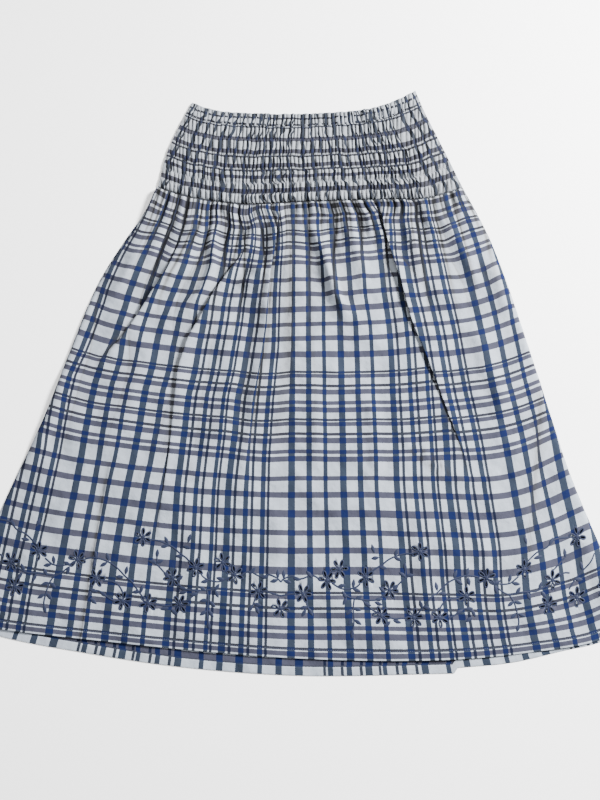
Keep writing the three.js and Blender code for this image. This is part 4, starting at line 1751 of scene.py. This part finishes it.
    def add_pad(
        self,
        points: list[list[float]],
        faces: list[list[int]],
        u: float,
        w: float,
        length: float,
        width: float,
        angle: float,
    ) -> None:
        """Adds a raised pad of satin stitch, pointed if it is longer than it is wide.

        Args:
            points: The mesh's points so far.
            faces: The mesh's faces so far.
            u: The pad's middle, as a cloth width.
            w: The pad's middle, as a cloth length.
            length: The pad's half-length.
            width: The pad's half-width.
            angle: Where its length points.
        """
        count = 12
        pointed = 0.5 if length > width * 1.3 else 0.0
        first = len(points)
        t = np.arange(count) * math.tau / count
        for share, high in ((1.0, 0.0), (0.8, 0.75), (0.35, 1.0)):
            along = length * share * np.cos(t)
            across = width * share * np.sin(t) * (1 - pointed * np.abs(np.cos(t)) ** 1.5)
            uu = u + along * math.cos(angle) - across * math.sin(angle)
            ww = w + along * math.sin(angle) + across * math.cos(angle)
            place, normal = self.front.grid.lift_off(uu, ww)
            points.extend((place + normal * (0.12 + high * self.satin_height)).tolist())
        for p in range(2):
            for k in range(count):
                n = (k + 1) % count
                low, top = first + p * count, first + (p + 1) * count
                faces.append([low + k, low + n, top + n, top + k])
        faces.append([first + 2 * count + k for k in range(count)])

    def vines_and_leaves(self) -> bpy.types.Object:
        """Makes the vines, as rounded cords of stitches, and their leaves.

        Returns:
            Their object.
        """
        points, faces = [], []
        for vine in VINES:
            for side in vine.sides:
                chart = through(vine.points, 4)
                places = [self.place(out, up, side) for out, up in chart]
                cloth = np.array([self.front.grid.nearest_cloth(x, y) for x, y in places])
                self.add_cord(points, faces, blur(cloth, 0, 2))
        for leaf in LEAVES:
            for side in leaf.sides:
                u, w = self.front.grid.nearest_cloth(*self.place(leaf.out, leaf.up, side))
                angle = math.radians(leaf.points_to if side < 0 else 180 - leaf.points_to)
                self.add_pad(points, faces, u, w, leaf.reach, self.leaf_half, angle)
        return object_from(points, faces, "vine_and_leaf_satin", smooth_shade=True)

    def add_cord(
        self, points: list[list[float]], faces: list[list[int]], cloth: np.ndarray
    ) -> None:
        """Adds a vine: a half-round cord of stitches along cloth points.

        Args:
            points: The mesh's points so far.
            faces: The mesh's faces so far.
            cloth: The vine's points as cloth coordinates, one row each.
        """
        heading = np.gradient(cloth, axis=0)
        heading /= np.maximum(np.linalg.norm(heading, axis=1)[:, None], 1e-6)
        side = np.stack([-heading[:, 1], heading[:, 0]], axis=-1)
        wide = self.vine_half
        profile = ((-wide, 0.0), (-0.6 * wide, 0.5), (0.6 * wide, 0.5), (wide, 0.0))
        first, count = len(points), len(cloth)
        for across, high in profile:
            where = cloth + side * across
            place, normal = self.front.grid.lift_off(where[:, 0], where[:, 1])
            points.extend((place + normal * (0.12 + high)).tolist())
        for p in range(3):
            for k in range(count - 1):
                low, top = first + p * count, first + (p + 1) * count
                faces.append([low + k, top + k, top + k + 1, low + k + 1])


# ---- sewing ---------------------------------------------------------------------------------------
@dataclass
class StitchRows:
    """Rows of machine stitches, laid by Geometry Nodes along lines on the cloth.

    Attributes:
        name: The piece's name.
        lines: Each row's points, in outline millimetres.
        material: The thread's finish.
        pitch: From one stitch to the next.
        length: One stitch.
        width: The thread's width.
    """

    name: str
    lines: list[np.ndarray]
    material: bpy.types.Material
    pitch: float = 2.8
    length: float = 2.0
    width: float = 0.42

    def tree(self) -> bpy.types.NodeTree:
        """Builds the node tree: lines in, one short rounded stitch at every pitch out.

        Returns:
            The tree, with its sizes as named inputs.
        """
        tree = bpy.data.node_groups.new(self.name + "_stitching", "GeometryNodeTree")
        tree.interface.new_socket("Lines", in_out="INPUT", socket_type="NodeSocketGeometry")
        for label in ("Pitch", "Stitch Length", "Thread Width"):
            tree.interface.new_socket(label, in_out="INPUT", socket_type="NodeSocketFloat")
        tree.interface.new_socket("Stitches", in_out="OUTPUT", socket_type="NodeSocketGeometry")
        given = add_node(tree, "NodeGroupInput")
        result = add_node(tree, "NodeGroupOutput")
        curve = add_node(tree, "GeometryNodeMeshToCurve", links={"Mesh": given.outputs["Lines"]})
        spaced = add_node(
            tree, "GeometryNodeCurveToPoints", {"mode": "LENGTH"},
            {"Curve": curve.outputs["Curve"], "Length": given.outputs["Pitch"]},
        )
        ball = add_node(
            tree, "GeometryNodeMeshUVSphere", {"in:Segments": 5, "in:Rings": 4, "in:Radius": 0.5}
        )
        size = add_node(
            tree, "ShaderNodeCombineXYZ",
            links={
                "X": given.outputs["Thread Width"], "Y": given.outputs["Thread Width"],
                "Z": given.outputs["Stitch Length"],
            },
        )
        placed = add_node(
            tree, "GeometryNodeInstanceOnPoints",
            links={
                "Points": spaced.outputs["Points"], "Instance": ball.outputs["Mesh"],
                "Rotation": spaced.outputs["Rotation"], "Scale": size.outputs[0],
            },
        )
        real = add_node(tree, "GeometryNodeRealizeInstances", links={0: placed.outputs[0]})
        dressed = add_node(
            tree, "GeometryNodeSetMaterial", {"in:Material": self.material}, {0: real.outputs[0]}
        )
        tree.links.new(dressed.outputs[0], result.inputs[0])
        return tree

    def build(self) -> bpy.types.Object:
        """Lays the stitches and turns them into a plain mesh.

        Returns:
            The stitches' object.
        """
        points, edges = [], []
        for line in self.lines:
            first = len(points)
            points.extend(line.tolist())
            edges.extend([first + k, first + k + 1] for k in range(len(line) - 1))
        made = object_from(points, [], self.name, edges=edges)
        tree = self.tree()
        laid = made.modifiers.new("stitches", "NODES")
        laid.node_group = tree
        sizes = {"Pitch": self.pitch, "Stitch Length": self.length, "Thread Width": self.width}
        for item in tree.interface.items_tree:
            if item.in_out == "INPUT" and item.name in sizes:
                laid[item.identifier] = sizes[item.name] * MM
        evaluated(made)
        made.data.shade_smooth()
        return made


def line_on(grid: ClothGrid, row: int, lift: float, step: int = 2) -> np.ndarray:
    """Reads one row of a cloth grid as a line just above the cloth.

    Args:
        grid: The cloth's grid.
        row: Which row.
        lift: How far above the wall's middle the line lies.
        step: Takes every so many columns.

    Returns:
        The line's points, one row each.
    """
    line = grid.place[row, 2:-2:step].copy()
    line[:, 2] += lift
    return line


# ---- the stage ------------------------------------------------------------------------------------
@dataclass(frozen=True)
class SoftLight:
    """A square area light that is aimed at the skirt's middle: metres and watts."""

    name: str
    place: tuple[float, float, float]
    power: float
    size: float

    def build(self) -> None:
        """Makes the light and links it."""
        light = bpy.data.lights.new(self.name, "AREA")
        light.energy, light.size = self.power, self.size
        lamp = bpy.data.objects.new(self.name, light)
        lamp.location = x, y, z = self.place
        lamp.rotation_euler = (math.atan2(math.hypot(x, y), z), 0.0, math.atan2(y, x) + math.pi / 2)
        bpy.context.scene.collection.objects.link(lamp)


@dataclass(frozen=True)
class Studio:
    """The plain white surface, the soft light and the camera.

    The camera stands 850 mm from the skirt's middle, tilted 14.1 degrees from straight down.
    """

    distance: float = 0.85
    tilt: float = 14.1
    lens: float = 27.05
    sensor: float = 36.0
    floor_reach: float = 6.0
    floor_roughness: float = 0.9
    floor_white: str = "#FCFCFC"
    sky_white: str = "#FFFFFF"
    sky_strength: float = 0.6
    lights: tuple[SoftLight, ...] = (
        SoftLight("key", (1.72, 0.75, 1.32), 335.0, 0.45),
        SoftLight("fill", (-1.5, 0.5, 2.0), 45.0, 0.9),
    )

    def build(self) -> None:
        """Makes the floor, the world, the lights and the camera."""
        self.lay_floor()
        world = bpy.data.worlds.new("studio")
        world.use_nodes = True
        sky = world.node_tree.nodes["Background"]
        sky.inputs["Color"].default_value = linear(self.sky_white)
        sky.inputs["Strength"].default_value = self.sky_strength
        bpy.context.scene.world = world
        for light in self.lights:
            light.build()
        self.place_camera()

    def lay_floor(self) -> None:
        """Lays the floor: matt white card, evenly rough, with no pattern and no gleam."""
        far = self.floor_reach
        data = bpy.data.meshes.new("floor")
        data.from_pydata(
            [(-far, -far, 0), (far, -far, 0), (far, far, 0), (-far, far, 0)], [], [(0, 1, 2, 3)]
        )
        floor = bpy.data.objects.new("floor", data)
        bpy.context.scene.collection.objects.link(floor)
        card, _, _ = new_finish("matt_white_paper", self.floor_roughness, colour=self.floor_white)
        data.materials.append(card)

    def place_camera(self) -> None:
        """Stands the camera over the skirt, a little towards the hem, and makes it the scene's."""
        data = bpy.data.cameras.new("camera")
        data.lens, data.sensor_width, data.clip_start = self.lens, self.sensor, 0.01
        camera = bpy.data.objects.new("camera", data)
        tilt = math.radians(self.tilt)
        camera.location = (
            SHIFT_X * MM,
            SHIFT_Y * MM - self.distance * math.sin(tilt),
            self.distance * math.cos(tilt),
        )
        camera.rotation_euler = (tilt, 0.0, 0.0)
        bpy.context.scene.collection.objects.link(camera)
        bpy.context.scene.camera = camera


# ---- putting it together --------------------------------------------------------------------------
def dress(
    piece: bpy.types.Object, material: bpy.types.Material | None, node: str | None = None
) -> None:
    """Gives a piece its finish and its body, and hides the CAD node that it stands for.

    Args:
        piece: The finished piece.
        material: Its finish, or nothing where the piece already has it.
        node: The CAD node that it replaces, if any.
    """
    if material is not None:
        piece.data.materials.clear()
        piece.data.materials.append(material)
    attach(piece, "root")
    if node is not None:
        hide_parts(node)
    LOG.info("%s: %d faces", piece.name, len(piece.data.polygons))


def main() -> None:
    logging.basicConfig(level=logging.INFO, format="%(name)s %(message)s")
    Studio().build()
    plaid = PlaidVoile().build()
    yoke_plaid = PlaidVoile("cotton_voile_yoke_plaid", weft_stripes=YOKE_WEFT, weft_start=0.0).build()
    silk = Thread("viscose_embroidery_thread", "#1D2234", roughness=0.6, sheen=0.03).build()
    cotton = Thread("polyester_sewing_thread", "#4C5366", roughness=0.7, sheen=0.05).build()

    front = SkirtFront()
    front_cloth = front.build()
    border = Border(front)
    border.cut(front_cloth)
    flowers = border.satin_rings()
    vines = border.vines_and_leaves()
    back_cloth = SkirtBack().build()
    yoke_front = Yoke("yoke_front_cloth", level=FRONT_LEVEL - 0.4, columns=560, rows=78, pucker=3.2)
    yoke_front_cloth = yoke_front.build()
    yoke_back = Yoke(
        "yoke_back_cloth", level=BACK_LEVEL, columns=160, rows=30, pucker=0.0, casing_rise=0.75
    )
    yoke_back_cloth = yoke_back.build()

    hem_row = int(np.argmin(np.abs(front.grid.w[:, 0] - HEM_W - STITCH_UP)))
    hem_stitches = StitchRows("hem_stitches", [line_on(front.grid, hem_row, 0.25)], cotton).build()
    casing = line_on(yoke_front.grid, yoke_front.row_at(CASING), 0.25)
    casing_stitches = StitchRows("casing_stitches", [casing], cotton).build()
    elastic = [
        line_on(yoke_front.grid, yoke_front.row_at(down), 0.2) for down in yoke_front.elastic_rows[1:]
    ]
    elastic_stitches = StitchRows(
        "elastic_stitches", elastic, cotton, pitch=2.2, length=1.5, width=0.32
    ).build()

    dress(front_cloth, plaid, "skirt_front")
    dress(back_cloth, plaid, "skirt_back")
    dress(yoke_front_cloth, yoke_plaid, "yoke_front")
    dress(yoke_back_cloth, yoke_plaid, "yoke_back")
    dress(flowers, silk)
    dress(vines, silk)
    for stitches in (hem_stitches, casing_stitches, elastic_stitches):
        dress(stitches, None)


if __name__ == "__main__":
    main()
